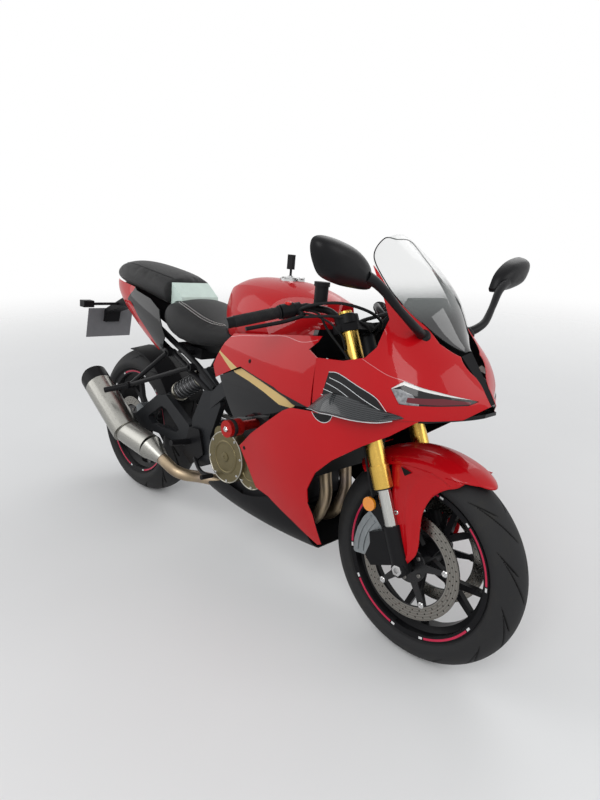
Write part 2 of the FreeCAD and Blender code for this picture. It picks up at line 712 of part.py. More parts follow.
def crowned(table, grow=0.0):
    """Loft through a table of tank or seat sections, grown outwards for a clearance cut."""
    wires = []
    count = len(table)
    for i, (x, foot, foot_z, middle, middle_z, shoulder, shoulder_z, top_z) in enumerate(table):
        ahead = -grow if i == 0 else (grow if i == count - 1 else 0.0)
        wires.append(tank_section(x + ahead, foot + grow, foot_z - grow, middle + grow, middle_z, shoulder + grow,
                                  shoulder_z + grow, top_z + grow))
    return Part.makeLoft(wires, True, False)


bar_floor = 702.0
bar_angle = 121.0
recess_reach = 420.0


def bar_recess():
    """Room on the left for the handlebar at full lock: a wedge about the steering axis, above the bar's lowest plane."""
    foot = on_stem(bar_floor)
    swept = math.radians(bar_angle + steer_limit)
    inner = foot + (steer_front * math.cos(swept) + side * math.sin(swept)) * recess_reach
    wedge = Part.Face(polygon([foot, inner, foot + side * recess_reach])).extrude(steer_up * 300)
    return wedge


tank = crowned(tank_table).cut(bar_recess()).cut(other_side(bar_recess()))
filler_x = 820.0
filler_z = 1001.0
filler_radius = 40.0
lid_radius = 31.0
filler_hole = rod(V(filler_x, 0, filler_z - 16), V(filler_x, 0, filler_z + 30), filler_radius + fit_gap)
tank = tank.cut(filler_hole)
filler_ring = ring(V(filler_x, 0, filler_z - 15), V(filler_x, 0, filler_z + 6), filler_radius, 25)
hinge_x = filler_x + filler_radius - 4
hinge_z = filler_z + 9.3
hinge_pin_radius = 1.2
tongue_half = 2.7
lid_low = filler_z + 6 + fit_gap
hinge_ears = block((hinge_x - 4, -14, filler_z + 2), (10, 28, 11))
hinge_slot = block((hinge_x - 8, -9, filler_z + 5.2), (18, 18, 12))
hinge_pin = rod(V(hinge_x, -12, hinge_z), V(hinge_x, 12, hinge_z), hinge_pin_radius)
filler_ring = fuse(fuse(filler_ring, hinge_ears).cut(hinge_slot), hinge_pin)
plug_radius = 21.0
fuel_cap = fuse(
    rod(V(filler_x, 0, lid_low), V(filler_x, 0, lid_low + 4), lid_radius),
    rod(V(filler_x, 0, filler_z - 8), V(filler_x, 0, filler_z + 8), plug_radius),
    block((filler_x + 20, -8.5, lid_low), (hinge_x - filler_x - 20, 17, hinge_z + tongue_half - lid_low)),
    rod(V(hinge_x, -8.5, hinge_z), V(hinge_x, 8.5, hinge_z), tongue_half),
    rod(V(filler_x - 10, 0, filler_z + 9), V(filler_x - 10, 0, filler_z + 14), 9),
).cut(rod(V(hinge_x, -12, hinge_z), V(hinge_x, 12, hinge_z), hinge_pin_radius + 0.05))
key_fob = fuse(
    block((filler_x - 14, -1.5, filler_z + 14), (8, 3, 22)),
    block((filler_x - 22, -8, filler_z + 34), (22, 14, 46)),
)

rider_seat_table = [
    # x, foot half width, foot z, middle half width, middle z, shoulder half width, shoulder z, top z
    (285, 112, 775, 134, 815, 112, 858, 868),
    (345, 118, 745, 150, 795, 122, 862, 878),
    (470, 112, 735, 142, 780, 108, 828, 842),
    (560, 96, 745, 116, 785, 84, 812, 822),
    (640, 76, 765, 88, 795, 62, 824, 834),
]
pillion_table = [
    # x, foot half width, foot z, middle half width, middle z, shoulder half width, shoulder z, top z
    (-185, 52, 905, 66, 925, 52, 948, 958),
    (-90, 84, 895, 100, 930, 80, 968, 986),
    (60, 100, 880, 118, 925, 94, 964, 982),
    (180, 100, 862, 120, 905, 96, 948, 966),
    (262, 98, 850, 116, 890, 92, 932, 946),
]
rider_seat = crowned(rider_seat_table).cut(crowned(tank_table, fit_gap))
pillion_seat = crowned(pillion_table)
band_outline = [(258, 850), (258, 936), (330, 886), (334, 862), (290, 845)]
seat_band = side_plate(band_outline, -84, 84).cut(crowned(pillion_table, fit_gap)).cut(
    crowned(rider_seat_table, fit_gap))

tail_stations = [
    (-160, (50, 945), (70, 900), (40, 820)),
    (-60, (82, 925), (104, 860), (70, 780)),
    (100, (108, 890), (132, 820), (100, 720)),
    (280, (122, 860), (150, 760), (118, 660)),
    (420, (124, 800), (148, 720), (116, 640)),
]
tail_outline = [(-165, 915), (-150, 950), (-60, 938), (60, 880), (180, 862), (262, 832), (330, 742), (300, 690),
                (205, 664), (29, 723), (-145, 824)]
tail_blank = body_panel(tail_stations, tail_outline).cut(crowned(pillion_table, fit_gap))

rail_rows = [
    # points of one side's rails: x, y, z
    [(604, 118, 606), (470, 116, 676), (300, 100, 722), (60, 86, 800), (-104, 42, 858)],
    [(598, 118, 575), (440, 118, 640), (300, 104, 682), (100, 78, 730), (-24, 56, 774)],
]
rail_radius = 11.0
tail_inside = skin(tail_stations, 200.0, panel - 0.5)
rails = []
for row in rail_rows:
    rails.append(pipe(row, rail_radius))
    rails.append(other_side(rails[-1]))
seat_pan = side_plate([(-140, 892), (-60, 886), (100, 868), (262, 844), (276, 768), (345, 738), (470, 728), (560, 738),
                       (600, 740), (600, 716), (470, 704), (340, 714), (250, 744), (60, 800), (-60, 838), (-150, 852)],
                      -50, 50, 6)
battery_tray = block((300, -70, 672), (150, 140, 40))
peg_mount = fuse(rod(V(316, 96, 676), V(316, 118, 676), 14), rod(V(478, 108, 655), V(478, 128, 655), 14))
subframe = fuse(
    *rails, seat_pan, battery_tray, peg_mount, other_side(peg_mount),
    rod(V(400, -108, 690), V(400, 108, 690), 10),
    rod(V(60, -92, 800), V(60, 92, 800), 10),
).cut(frame)

tail_stays = [rod(V(x, 60, z), V(x, 200, z), 7).common(tail_inside).cut(subframe) for x, z in ((60, 800), (260, 733))]
tail_stays = [max(stay.Solids, key=lambda solid: solid.CenterOfMass.y) for stay in tail_stays]
tail_cowl = pair(fuse(tail_blank, *tail_stays))

tail_light = side_plate([(-176, 888), (-140, 894), (-140, 853), (-158, 838)], -46, 46).cut(subframe)

plate_top = V(-354, 0, 752)
plate_foot = V(-380, 0, 752 - plate_height * 0.97)
plate_slope = (plate_top.x - plate_foot.x) / (plate_top.z - plate_foot.z)
holder_rear = [(plate_top.x + plate_slope * (z - plate_top.z) + fit_gap, z) for z in (748, 690)]
plate_holder = fuse(
    side_plate([(-146, 840), (-60, 800), (-60, 772), (-180, 786), (-330, 738), (-344, 690), holder_rear[1],
                holder_rear[0]], -34, 34),
    side_plate([(-125, 800), (-125, 847.8), (-80, 840.8), (-80, 800)], -30, 30),
    rod(V(-230, -150, 788), V(-230, 150, 788), 6),
    block((-262, -196, 774), (40, 46, 28)),
    block((-262, 150, 774), (40, 46, 28)),
).cut(subframe)
number_plate = side_plate([(plate_top.x, plate_top.z), (plate_top.x - 2, plate_top.z),
                           (plate_foot.x - 2, plate_foot.z), (plate_foot.x, plate_foot.z)],
                          -plate_width / 2, plate_width / 2)

hugger_start = math.radians(28)
hugger_profile = [(-88, 318), (0, 330), (88, 318), (88, 314), (0, 326), (-88, 314)]
hugger_skin = Part.Face(polygon([
    rear_axle + V(math.cos(hugger_start) * r, y, math.sin(hugger_start) * r) for y, r in hugger_profile
])).revolve(rear_axle, side, -66)
hugger_tab = block((264, 82, 462), (22, arm_y - fit_gap - 82, 12))
rear_hugger = fuse(hugger_skin, hugger_tab, other_side(hugger_tab))

peg_root = V(150, 188, 520)
peg_end = V(88, 262, 492)
pillion_pegs = pair(fuse(
    rod(peg_root, V(316, 131, 676), 9),
    rod(peg_root, V(478, 141, 655), 9),
    rod(V(316, 118 + fit_gap, 676), V(316, 134, 676), 14),
    rod(V(478, 128 + fit_gap, 655), V(478, 144, 655), 14),
    rod(peg_root - V(0, 14, 0), peg_root + V(0, 14, 0), 14),
    rod(peg_root, peg_end, 11),
))

rearset_plate = side_plate([(560, 445), (500, 440), (470, 330), (520, 300), (590, 360)], 140, 146, 8)
rearsets = pair(fuse(
    rearset_plate,
    rod(V(560, 134.3, 420), V(560, 141, 420), 10),
    rod(V(540, 134.3, 340), V(540, 141, 340), 10),
    rod(V(505, 145, 385), V(505, 225, 392), 11),
    pipe([(540, 144, 330), (610, 170, 306), (690, 186, 322)], 7),
    rod(V(690, 178, 322), V(690, 224, 324), 8),
))

crash_bobbins = pair(fuse(
    rod(V(bobbin_x, crankcase_half + fit_gap, bobbin_z), V(bobbin_x, 205, bobbin_z), 16),
    rod(V(bobbin_x, 200, bobbin_z), V(bobbin_x, 252, bobbin_z), 27),
))

# Front bodywork

cowl_stations = [
    # x, then half width and height at the top edge, in the middle and at the foot
    (1130, (150, 1120), (212, 850), (222, 680)),
    (1250, (137, 1078), (206, 860), (222, 690)),
    (1347, (129, 992), (204, 850), (220, 700)),
    (1413, (88, 940), (186, 846), (206, 710)),
    (1482, (15, 886), (110, 856), (172, 728)),
    (1524, (9, 833), (62, 812), (100, 734)),
    (1566, (8, 776), (18, 768), (30, 745)),
]
cowl_outline = [(1229, 1104), (1302, 1030), (1383, 965), (1440, 911), (1482, 883), (1520, 836), (1566, 772),
                (1533, 738), (1476, 734), (1320, 712), (1192, 692), (1158, 690), (1153, 828), (1242, 837), (1309, 858),
                (1333, 888), (1336, 957), (1290, 1024)]
slit_outline = [(1398, 800), (1424, 823), (1490, 806), (1546, 783), (1535, 773), (1480, 771), (1425, 767)]
slit = side_plate(slit_outline, 20, 300)
cowl_left = body_panel(cowl_stations, cowl_outline).cut(slit)
lens_outline = [(1380, 800), (1424, 832), (1490, 814), (1546, 790), (1535, 766), (1480, 763), (1420, 758)]
headlights = pair(body_panel(cowl_stations, lens_outline, 3.0, panel + fit_gap))

spine_wall = 6.0
spine_rows = [
    # edge x, edge half width, edge z, ridge x, ridge z
    (1474, 28, 881, 1484, 893),
    (1518, 18, 831, 1525, 840),
    (1563, 14, 770, 1569, 778),
]
screen_wall = 4.0
screen_rows = [
    # edge x, edge half width, edge z, centre x, centre z
    (1476, 14, 891, 1479, 894),
    (1440, 58, 914, 1453, 929),
    (1383, 113, 968, 1412, 1000),
    (1302, 137, 1033, 1342, 1078),
    (1234, 120, 1100, 1262, 1138),
    (1214, 60, 1148, 1223, 1166),
]


def crest_points(edge_x, half, edge_z, mid_x, mid_z, wall):
    """Outer and inner points of a section in one plane: edge, crest, other edge."""
    inward = V(edge_x - mid_x, 0, edge_z - mid_z).normalize() * wall
    outer = [V(edge_x, half, edge_z), V(mid_x, 0, mid_z), V(edge_x, -half, edge_z)]
    return outer, [p + inward for p in outer]


def screen_section(row, wall):
    """Arc across the screen with an inner arc one wall below it."""
    outer, inner = crest_points(*row, wall)
    return Part.Wire([
        Part.Arc(outer[0], outer[1], outer[2]).toShape(),
        Part.LineSegment(outer[2], inner[2]).toShape(),
        Part.Arc(inner[2], inner[1], inner[0]).toShape(),
        Part.LineSegment(inner[0], outer[0]).toShape(),
    ])


def spine_section(row):
    """Ridged strip across the nose."""
    outer, inner = crest_points(*row, spine_wall)
    return polygon([outer[0], outer[1], outer[2], inner[2], inner[1], inner[0]])


nose_spine = Part.makeLoft([spine_section(row) for row in spine_rows], True, True)
windscreen = Part.makeLoft([screen_section(row, screen_wall) for row in screen_rows], True, False)
screen_rows_wide = [(x, half + fit_gap, z + fit_gap, mid_x, mid_z + 1.0) for x, half, z, mid_x, mid_z in screen_rows]
screen_room = Part.makeLoft([screen_section(row, screen_wall + 1.3) for row in screen_rows_wide], True, False)
spine_room = Part.makeLoft([spine_section((x, half + fit_gap, z, mx + 6, mz + 6)) for x, half, z, mx, mz in
                            spine_rows], True, True)
upper_cowl = pair(cowl_left.cut(screen_room).cut(spine_room))

fairing_stations = [
    # x, then half width and height at the top, in the middle and at the foot
    (840, (200, 770), (206, 500), (150, 250)),
    (1000, (214, 770), (224, 520), (150, 250)),
    (1150, (222, 770), (230, 540), (152, 250)),
    (1300, (222, 780), (218, 590), (150, 300)),
    (1420, (205, 790), (196, 660), (140, 400)),
    (1500, (170, 800), (164, 720), (110, 500)),
]
fairing_outline = [(1474, 733), (1408, 680), (1339, 635), (1252, 570), (1198, 516), (1168, 455), (1167, 413), (1182, 377),
                   (1196, 280), (1180, 270), (1089, 318), (987, 360), (926, 366), (895, 426), (855, 487), (917, 547),
                   (988, 602), (1060, 659), (1092, 676), (1192, 689), (1320, 709)]
fairing_inside = skin(fairing_stations, 260.0, panel - 0.5)
fairing_stays = [
    rod(V(1126, 166 + fit_gap, 640), V(1126, 260, 640), 8).common(fairing_inside),
    rod(V(1126, 166 + fit_gap, 520), V(1126, 260, 520), 8).common(fairing_inside),
    rod(V(960, crankcase_half + fit_gap, 455), V(960, 260, 455), 8).common(fairing_inside),
]
side_fairings = pair(fuse(body_panel(fairing_stations, fairing_outline), *fairing_stays))

cover_stations = [
    (640, (148, 830), (168, 750), (158, 650)),
    (800, (168, 840), (192, 765), (190, 680)),
    (1000, (180, 870), (210, 780), (214, 680)),
    (1156, (192, 890), (214, 790), (222, 680)),
]
tank_clear = crowned(tank_table, fit_gap)
cover_outline = [(712, 788), (655, 705), (665, 664), (825, 735), (1000, 712), (1092, 680), (1155, 692), (1150, 826),
                 (1112, 842), (1140, 868), (1148, 884), (996, 862), (750, 824)]
cover_inside = skin(cover_stations, 200.0, panel - 0.5)
cover_stays = [rod(V(x, 100, z), V(x, 230, z), 8).common(cover_inside).cut(tank_clear) for x, z in ((800, 806), (1010, 826))]
cover_stays = [max(stay.Solids, key=lambda solid: solid.CenterOfMass.y) for stay in cover_stays]
tank_covers = pair(fuse(body_panel(cover_stations, cover_outline), *cover_stays))

infill_stations = [
    (690, (168, 740), (176, 640), (160, 540)),
    (860, (186, 740), (194, 640), (180, 540)),
    (1090, (208, 740), (212, 660), (204, 560)),
]
infill_outline = [(700, 678), (780, 556), (865, 582), (1000, 632), (1070, 664), (1086, 676), (1000, 708), (826, 731)]
infill_inside = skin(infill_stations, 200.0, panel - 0.5)
infill_stays = [rod(V(x, 120, z), V(x, 230, z), 7).common(infill_inside).cut(frame) for x, z in ((800, 676), (960, 690))]
infill_stays = [max(stay.Solids, key=lambda solid: solid.CenterOfMass.y) for stay in infill_stays]
infill_panels = pair(fuse(body_panel(infill_stations, infill_outline), *infill_stays))

belly_stations = [
    (570, (118, 340), (122, 280), (66, 204)),
    (700, (128, 350), (140, 280), (76, 198)),
    (900, (138, 350), (150, 280), (84, 196)),
    (1130, (130, 350), (140, 290), (76, 206)),
]
belly_outline = [(580, 240), (596, 180), (1110, 180), (1122, 228), (1110, 300), (980, 345), (880, 308), (820, 296),
                 (735, 302), (700, 300), (600, 256)]


def tub(stations, inset, lift):
    """Solid between both sides' arcs, set in by one amount and lifted off the foot by another."""
    wires = []
    for x, (y1, z1), (y2, z2), (y3, z3) in stations:
        left = [V(x, y1 - inset, z1), V(x, y2 - inset, z2), V(x, y3 - inset, z3 + lift)]
        right = [V(x, -p.y, p.z) for p in left]
        wires.append(Part.Wire([
            Part.Arc(left[0], left[1], left[2]).toShape(),
            Part.LineSegment(left[2], right[2]).toShape(),
            Part.Arc(right[2], right[1], right[0]).toShape(),
            Part.LineSegment(right[0], left[0]).toShape(),
        ]))
    return Part.makeLoft(wires, True, False)


belly_tabs = [block((x, crankcase_half + fit_gap, z), (28, 14, 12)) for x, z in ((770, 284), (930, 306))]
belly_pan = tub(belly_stations, 0.0, 0.0).cut(tub(belly_stations, panel, panel))
belly_pan = belly_pan.common(side_plate(belly_outline, -400, 400))
belly_pan = fuse(belly_pan, *belly_tabs, *[other_side(tab) for tab in belly_tabs])

chin_rows = [
    # x, half width, height of the underside
    (1470, 190, 728),
    (1524, 120, 729),
    (1563, 40, 740),
]
chin_blank = Part.makeLoft([
    polygon([V(x, 0, z + 13), V(x, half, z + 13), V(x, half, z), V(x, 0, z)]) for x, half, z in chin_rows
], True, True)
chin_half = chin_blank.common(skin(cowl_stations, 300.0, panel + fit_gap))
chin_panel = fuse(chin_half, other_side(chin_half))

winglet_rows = [
    # x, root half width, root z, tip half width, tip z
    (1230, 226, 722, 229, 718),
    (1300, 224, 770, 262, 722),
    (1370, 214, 772, 262, 728),
    (1440, 196, 764, 222, 744),
    (1462, 186, 760, 190, 756),
]
winglet_wires = []
for x, root, root_z, tip, tip_z in winglet_rows:
    winglet_wires.append(polygon([V(x, root, root_z), V(x, tip, tip_z), V(x, tip, tip_z - 5), V(x, root, root_z - 6)]))
body_core = skin(cowl_stations, 60.0)
fairing_core = skin(fairing_stations, 60.0)
winglets = pair(Part.makeLoft(winglet_wires, True, True).cut(body_core).cut(fairing_core))

mirror_base = V(1408, 118, 930)
mirror_joint = V(1385, 285, 1045)


def mirror():
    """Mirror: a foot on the cowl, a bent arm and a shell with its glass side to the rear."""
    foot = rod(mirror_base - V(0, 4, 4), mirror_base + V(4, 14, 14), 17)
    arm = pipe([mirror_base, mirror_base + V(6, 46, 18), mirror_joint - V(-4, 20, 16), mirror_joint + V(0, 10, 6)], 11)
    outline = [(285, 1024), (330, 1032), (420, 1052), (478, 1100), (484, 1122), (440, 1140), (360, 1122), (290, 1068)]
    back = polygon([V(1352, y, z) for y, z in outline])
    middle = polygon([V(1376, 384 + (y - 384) * 0.94, 1086 + (z - 1086) * 0.9) for y, z in outline])
    front = polygon([V(1398, 384 + (y - 384) * 0.6, 1086 + (z - 1086) * 0.5) for y, z in outline])
    shell = Part.makeLoft([back, middle, front], True, True)
    return fuse(foot, arm, shell)


mirrors = pair(mirror().cut(body_core).cut(screen_room))

cowl_inside = skin(cowl_stations, 300.0, panel + fit_gap)
cowl_arm = rod(V(1336, 0, 900), V(1336, 260, 900), 7).common(cowl_inside)
dash = fuse(
    side_plate([(1300, 960), (1330, 1010), (1342, 1006), (1372, 940), (1330, 930)], -84, 84, 4),
    rod(V(1195, -14, 800), V(1345, -14, 955), 8),
    rod(V(1195, 14, 800), V(1345, 14, 955), 8),
    rod(V(1336, -20, 900), V(1336, 20, 900), 7),
    cowl_arm,
    other_side(cowl_arm),
    rod(V(1289, -16, 898), V(1340, -16, 900), 6),
    rod(V(1289, 16, 898), V(1340, 16, 900), 6),
).cut(rod(on_stem(lower_clamp_at), on_stem(upper_clamp_at + 60), head_tube_radius))

lean = math.radians(lean_deg)
floor_up = V(0, -math.sin(lean), math.cos(lean))


def tyre_foot(radius, crown):
    """Height of a leaning tyre's lowest point along the floor's normal."""
    return radius * math.cos(lean) - (radius - crown) * math.cos(lean) - crown


def floor_height(x):
    """Floor height along its normal at x, on the line through both tyres' lowest points."""
    rear_low = tyre_foot(rear_tyre_radius, rear_tyre_crown)
    front_low = tyre_foot(front_tyre_radius, front_tyre_crown)
    return rear_low + (front_low - rear_low) * x / wheelbase


foot_x = 636.0
foot_y = 266.0
foot_on_floor = V(foot_x, foot_y, (floor_height(foot_x) + foot_y * math.sin(lean)) / math.cos(lean))
side_stand = fuse(
    pipe([stand_pivot, stand_pivot + V(18, 18, -60), foot_on_floor + floor_up * 12], 10),
    rod(stand_pivot - stand_axis * 12, stand_pivot + stand_axis * 12, 16),
    rod(foot_on_floor, foot_on_floor + floor_up * 8, 24),
).cut(rod(stand_pivot - stand_axis * 40, stand_pivot + stand_axis * 40, stand_pin_radius + 0.1))

shapes = {
    "frame": frame,
    "engine_case": engine_case,
    "engine_covers": engine_covers,
    "radiator": radiator,
    "exhaust_headers": exhaust_headers,
    "muffler": muffler,
    "muffler_cap": muffler_cap,
    "swingarm": swingarm,
    "stand_spools": stand_spools,
    "rear_shock": rear_shock,
    "drive_chain": drive_chain,
    "rear_caliper": rear_caliper,
    "subframe": subframe,
    "pillion_pegs": pillion_pegs,
    "rearsets": rearsets,
    "crash_bobbins": crash_bobbins,
    "tank": tank,
    "filler_ring": filler_ring,
    "fuel_cap": fuel_cap,
    "key_fob": key_fob,
    "rider_seat": rider_seat,
    "pillion_seat": pillion_seat,
    "seat_band": seat_band,
    "tail_cowl": tail_cowl,
    "tail_light": tail_light,
    "plate_holder": plate_holder,
    "number_plate": number_plate,
    "rear_hugger": rear_hugger,
    "upper_cowl": upper_cowl,
    "nose_spine": nose_spine,
    "windscreen": windscreen,
    "dash": dash,
    "headlights": headlights,
    "chin_panel": chin_panel,
    "side_fairings": side_fairings,
    "tank_covers": tank_covers,
    "infill_panels": infill_panels,
    "belly_pan": belly_pan,
    "winglets": winglets,
    "mirrors": mirrors,
    "triple_clamps": triple_clamps,
    "steering_stem": steering_stem,
    "fork_outer_tubes": fork_outer_tubes,
    "fork_inner_tubes": fork_inner_tubes,
    "axle_carriers": axle_carriers,
    "front_fender": front_fender,
    "handlebars": handlebars,
    "grips": grips,
    "levers": levers,
    "brake_reservoir": brake_reservoir,
    "front_calipers": front_calipers,
    "reflectors": reflectors,
    "front_rim": front_rim,
    "front_tyre": front_tyre,
    "front_discs": front_discs,
    "rear_rim": rear_rim,
    "rear_tyre": rear_tyre,
    "rear_disc": rear_disc,
    "rear_sprocket": rear_sprocket,
    "side_stand": side_stand,
}


def lean_over(shape):
    """Copy leaning on the side stand, still about the ground point below the rear axle."""
    copy = shape.copy()
    copy.rotate(V(0, 0, 0), V(1, 0, 0), -lean_deg)
    return copy


leaning = {name: lean_over(shape) for name, shape in shapes.items()}
bounds = FreeCAD.BoundBox()
for shape in leaning.values():
    bounds.add(shape.optimalBoundingBox(False, False))
shift = V(-(bounds.XMin + bounds.XMax) / 2, -(bounds.YMin + bounds.YMax) / 2, -bounds.ZMin)

os.makedirs("parts", exist_ok=True)
for name, shape in leaning.items():
    shape.translate(shift)
    faults = [solid for solid in shape.Solids if not solid.isValid() or solid.Volume <= 0]
    print(f"{name:20s} solids {len(shape.Solids)} faults {len(faults)} volume {shape.Volume / 1000:9.1f} cm3")
    shape.exportStep(f"parts/{name}.step")
print("box", bounds.XLength, bounds.YLength, bounds.ZLength, "shift", shift)
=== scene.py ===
import json
import math

import bmesh
import bpy
import numpy as np
from mathutils import Matrix, Vector


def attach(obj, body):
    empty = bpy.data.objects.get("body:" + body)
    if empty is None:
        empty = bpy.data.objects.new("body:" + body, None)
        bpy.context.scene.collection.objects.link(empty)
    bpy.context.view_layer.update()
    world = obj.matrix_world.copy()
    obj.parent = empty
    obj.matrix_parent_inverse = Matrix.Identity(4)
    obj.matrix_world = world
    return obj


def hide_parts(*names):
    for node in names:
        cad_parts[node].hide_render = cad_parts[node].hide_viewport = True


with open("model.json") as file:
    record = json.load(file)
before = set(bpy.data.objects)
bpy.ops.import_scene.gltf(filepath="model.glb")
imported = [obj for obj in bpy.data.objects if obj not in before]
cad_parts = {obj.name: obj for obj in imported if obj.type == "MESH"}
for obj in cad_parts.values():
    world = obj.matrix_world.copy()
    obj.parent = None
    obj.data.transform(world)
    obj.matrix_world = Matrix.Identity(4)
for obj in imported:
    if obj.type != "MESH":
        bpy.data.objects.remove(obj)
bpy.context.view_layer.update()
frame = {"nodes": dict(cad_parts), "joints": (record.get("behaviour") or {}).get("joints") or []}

# A faired sport bike on its side stand. Sizes here are in millimetres in the bike's own upright frame:
# x forward from the rear axle, y to the rider's left, z up from the ground. placed() leans that frame
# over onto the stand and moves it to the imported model's place, in metres.

WHEELBASE = 1439.0
REAR_AXLE = np.array([0.0, 0.0, 312.0])
FRONT_AXLE = np.array([WHEELBASE, 0.0, 299.0])
LEAN = math.radians(7.0)
RAKE = math.radians(24.5)
BODY_MIDDLE = np.array([1150.0, 0.0, 780.0])
RIGHT = np.array([1.0, -1.0, 1.0])
JOINTS = {joint["name"]: joint for joint in frame["joints"]}


def leaned(points):
    """Turn points about the X axis by the lean, top towards +Y, and change millimetres to metres."""
    p = np.asarray(points, float) / 1000.0
    c, s = math.cos(LEAN), math.sin(LEAN)
    return np.stack([p[..., 0], p[..., 1] * c + p[..., 2] * s, p[..., 2] * c - p[..., 1] * s], -1)


SHIFT = np.array(JOINTS["rear_wheel_spin"]["pos_m"]) - leaned(REAR_AXLE)


def placed(points):
    """Bike points in millimetres to the model's frame in metres."""
    return leaned(points) + SHIFT


# Shader maths

class Value:
    """A socket of a material's node tree that takes part in sums, as one Math node for each operation."""

    def __init__(self, finish, socket):
        self.finish = finish
        self.socket = socket

    def maths(self, operation, *others):
        values = {i: other for i, other in enumerate((self, *others))}
        return self.finish.node("ShaderNodeMath", {"operation": operation}, values)

    def __add__(self, other):
        return self.maths("ADD", other)

    def __sub__(self, other):
        return self.maths("SUBTRACT", other)

    def __mul__(self, other):
        return self.maths("MULTIPLY", other)

    def __rsub__(self, other):
        return self.finish.node("ShaderNodeMath", {"operation": "SUBTRACT"}, {0: other, 1: self})

    def __gt__(self, other):
        return self.maths("GREATER_THAN", other)

    def __lt__(self, other):
        return self.maths("LESS_THAN", other)

    __radd__ = __add__
    __rmul__ = __mul__

    def power(self, exponent):
        return self.maths("POWER", exponent)

    def fraction(self):
        return self.maths("FRACT")

    def sine(self):
        return self.maths("SINE")

    def ramp(self, low, high, start=0.0, end=1.0):
        """Smooth step of the value from low to high, giving start to end."""
        return self.finish.node("ShaderNodeMapRange", {"interpolation_type": "SMOOTHSTEP"},
                                {"Value": self, "From Min": low, "From Max": high, "To Min": start, "To Max": end})


class Finish:
    """One material: its shader's constants are set at once, and patterns are linked in afterwards."""

    def __init__(self, name, colour, rough, metal=0.0, coat=0.0, ior=1.45, sheen=0.0, spin=0.0, shine=0.5):
        self.material = bpy.data.materials.new(name)
        self.material.use_nodes = True
        self.tree = self.material.node_tree
        self.shader = self.tree.nodes["Principled BSDF"]
        self.colour = (*colour, 1.0)
        self.rough = rough
        self.set("Base Color", self.colour)
        self.set("Roughness", rough)
        self.set("Metallic", metal)
        self.set("Coat Weight", coat)
        self.set("Coat Roughness", 0.03)
        self.set("IOR", ior)
        self.set("Sheen Weight", sheen)
        self.set("Anisotropic", spin)
        self.set("Specular IOR Level", shine)

    def node(self, kind, settings=None, values=None, output=0):
        """Add a node: settings first, then the value or link of each named or numbered input."""
        made = self.tree.nodes.new(kind)
        for key, value in (settings or {}).items():
            if key == "stops":
                self.stops(made.color_ramp, value)
            else:
                setattr(made, key, value)
        for key, value in (values or {}).items():
            socket = made.inputs[key]
            if isinstance(value, Value):
                self.tree.links.new(value.socket, socket)
            else:
                socket.default_value = value
        return Value(self, made.outputs[output])

    @staticmethod
    def stops(ramp, rows):
        """Fill a colour ramp from rows of (place, colour)."""
        while len(ramp.elements) < len(rows):
            ramp.elements.new(0.5)
        for element, (place, colour) in zip(ramp.elements, rows):
            element.position = place
            element.color = (*colour, 1.0) if len(colour) == 3 else colour

    def set(self, name, value):
        """Set or link one of the shader's own sockets."""
        socket = self.shader.inputs[name]
        if isinstance(value, Value):
            self.tree.links.new(value.socket, socket)
        else:
            socket.default_value = value
        return self

    def place(self):
        """Object coordinates in metres."""
        return self.node("ShaderNodeTexCoord", output=3)

    def part(self, vector, axis):
        """One component of a vector, 0 to 2."""
        return self.node("ShaderNodeSeparateXYZ", values={0: vector}, output=axis)

    def noise(self, scale, detail=3.0, rough=0.5, vector=None, stretch=None):
        """Noise from 0 to 1 over the piece."""
        vector = vector or self.place()
        if stretch:
            vector = self.node("ShaderNodeMapping", values={"Vector": vector, "Scale": stretch})
        return self.node("ShaderNodeTexNoise", values={"Vector": vector, "Scale": scale, "Detail": detail,
                                                       "Roughness": rough})

    def mix(self, mask, first, second):
        """Colour between two colours by a mask from 0 to 1."""
        made = self.node("ShaderNodeMix", {"data_type": "RGBA"}, {0: mask}, output=2)
        node = made.socket.node
        for index, value in ((6, first), (7, second)):
            if isinstance(value, Value):
                self.tree.links.new(value.socket, node.inputs[index])
            else:
                node.inputs[index].default_value = (*value, 1.0) if len(value) == 3 else value
        return made

    def relief(self, height, depth, strength=1.0):
        """Bump from a height of 0 to 1 that is depth metres deep."""
        bump = self.node("ShaderNodeBump", values={"Height": height, "Distance": depth, "Strength": strength})
        self.set("Normal", bump)
        return self

    def side_view(self):
        """The bike's own x and z of the shaded point in millimetres, read back from the Object coordinates."""
        place = self.place()
        x = (self.part(place, 0) - float(SHIFT[0])) * 1000.0
        across = (self.part(place, 1) - float(SHIFT[1])) * (1000.0 * math.sin(LEAN))
        up = (self.part(place, 2) - float(SHIFT[2])) * (1000.0 * math.cos(LEAN))
        return x, across + up

    def height_on(self, x, line):
        """Height at x of a line through points: the first height plus one clamped rise for each span."""
        total = line[0][1]
        for (start, low), (end, high) in zip(line, line[1:]):
            rise = self.node("ShaderNodeMapRange", {}, {"Value": x, "From Min": start, "From Max": end, "To Min": 0.0,
                                                        "To Max": high - low})
            total = rise + total
        return total

    def between(self, x, z, upper, lower):
        """Mask that is 1 in the side view between two lines, within the run of both."""
        start, end = max(upper[0][0], lower[0][0]), min(upper[-1][0], lower[-1][0])
        return (z < self.height_on(x, upper)) * (z > self.height_on(x, lower)) * (x > start) * (x < end)

    def worn(self, scale=40.0, spread=0.08, shade=0.12):
        """Slight unevenness of colour and gloss, as handling and dust leave."""
        cloud = self.noise(scale, 4.0)
        self.set("Roughness", self.rough + (cloud - 0.5) * (2 * spread))
        dark = tuple(c * (1 - shade) for c in self.colour[:3])
        light = tuple(min(1.0, c * (1 + shade)) for c in self.colour[:3])
        self.set("Base Color", self.mix(cloud, dark, light))
        return self


GOLD_PAINT = (0.60, 0.42, 0.17)
BLACK_PAINT = (0.006, 0.006, 0.007)
GLOSS_COAT = 0.38


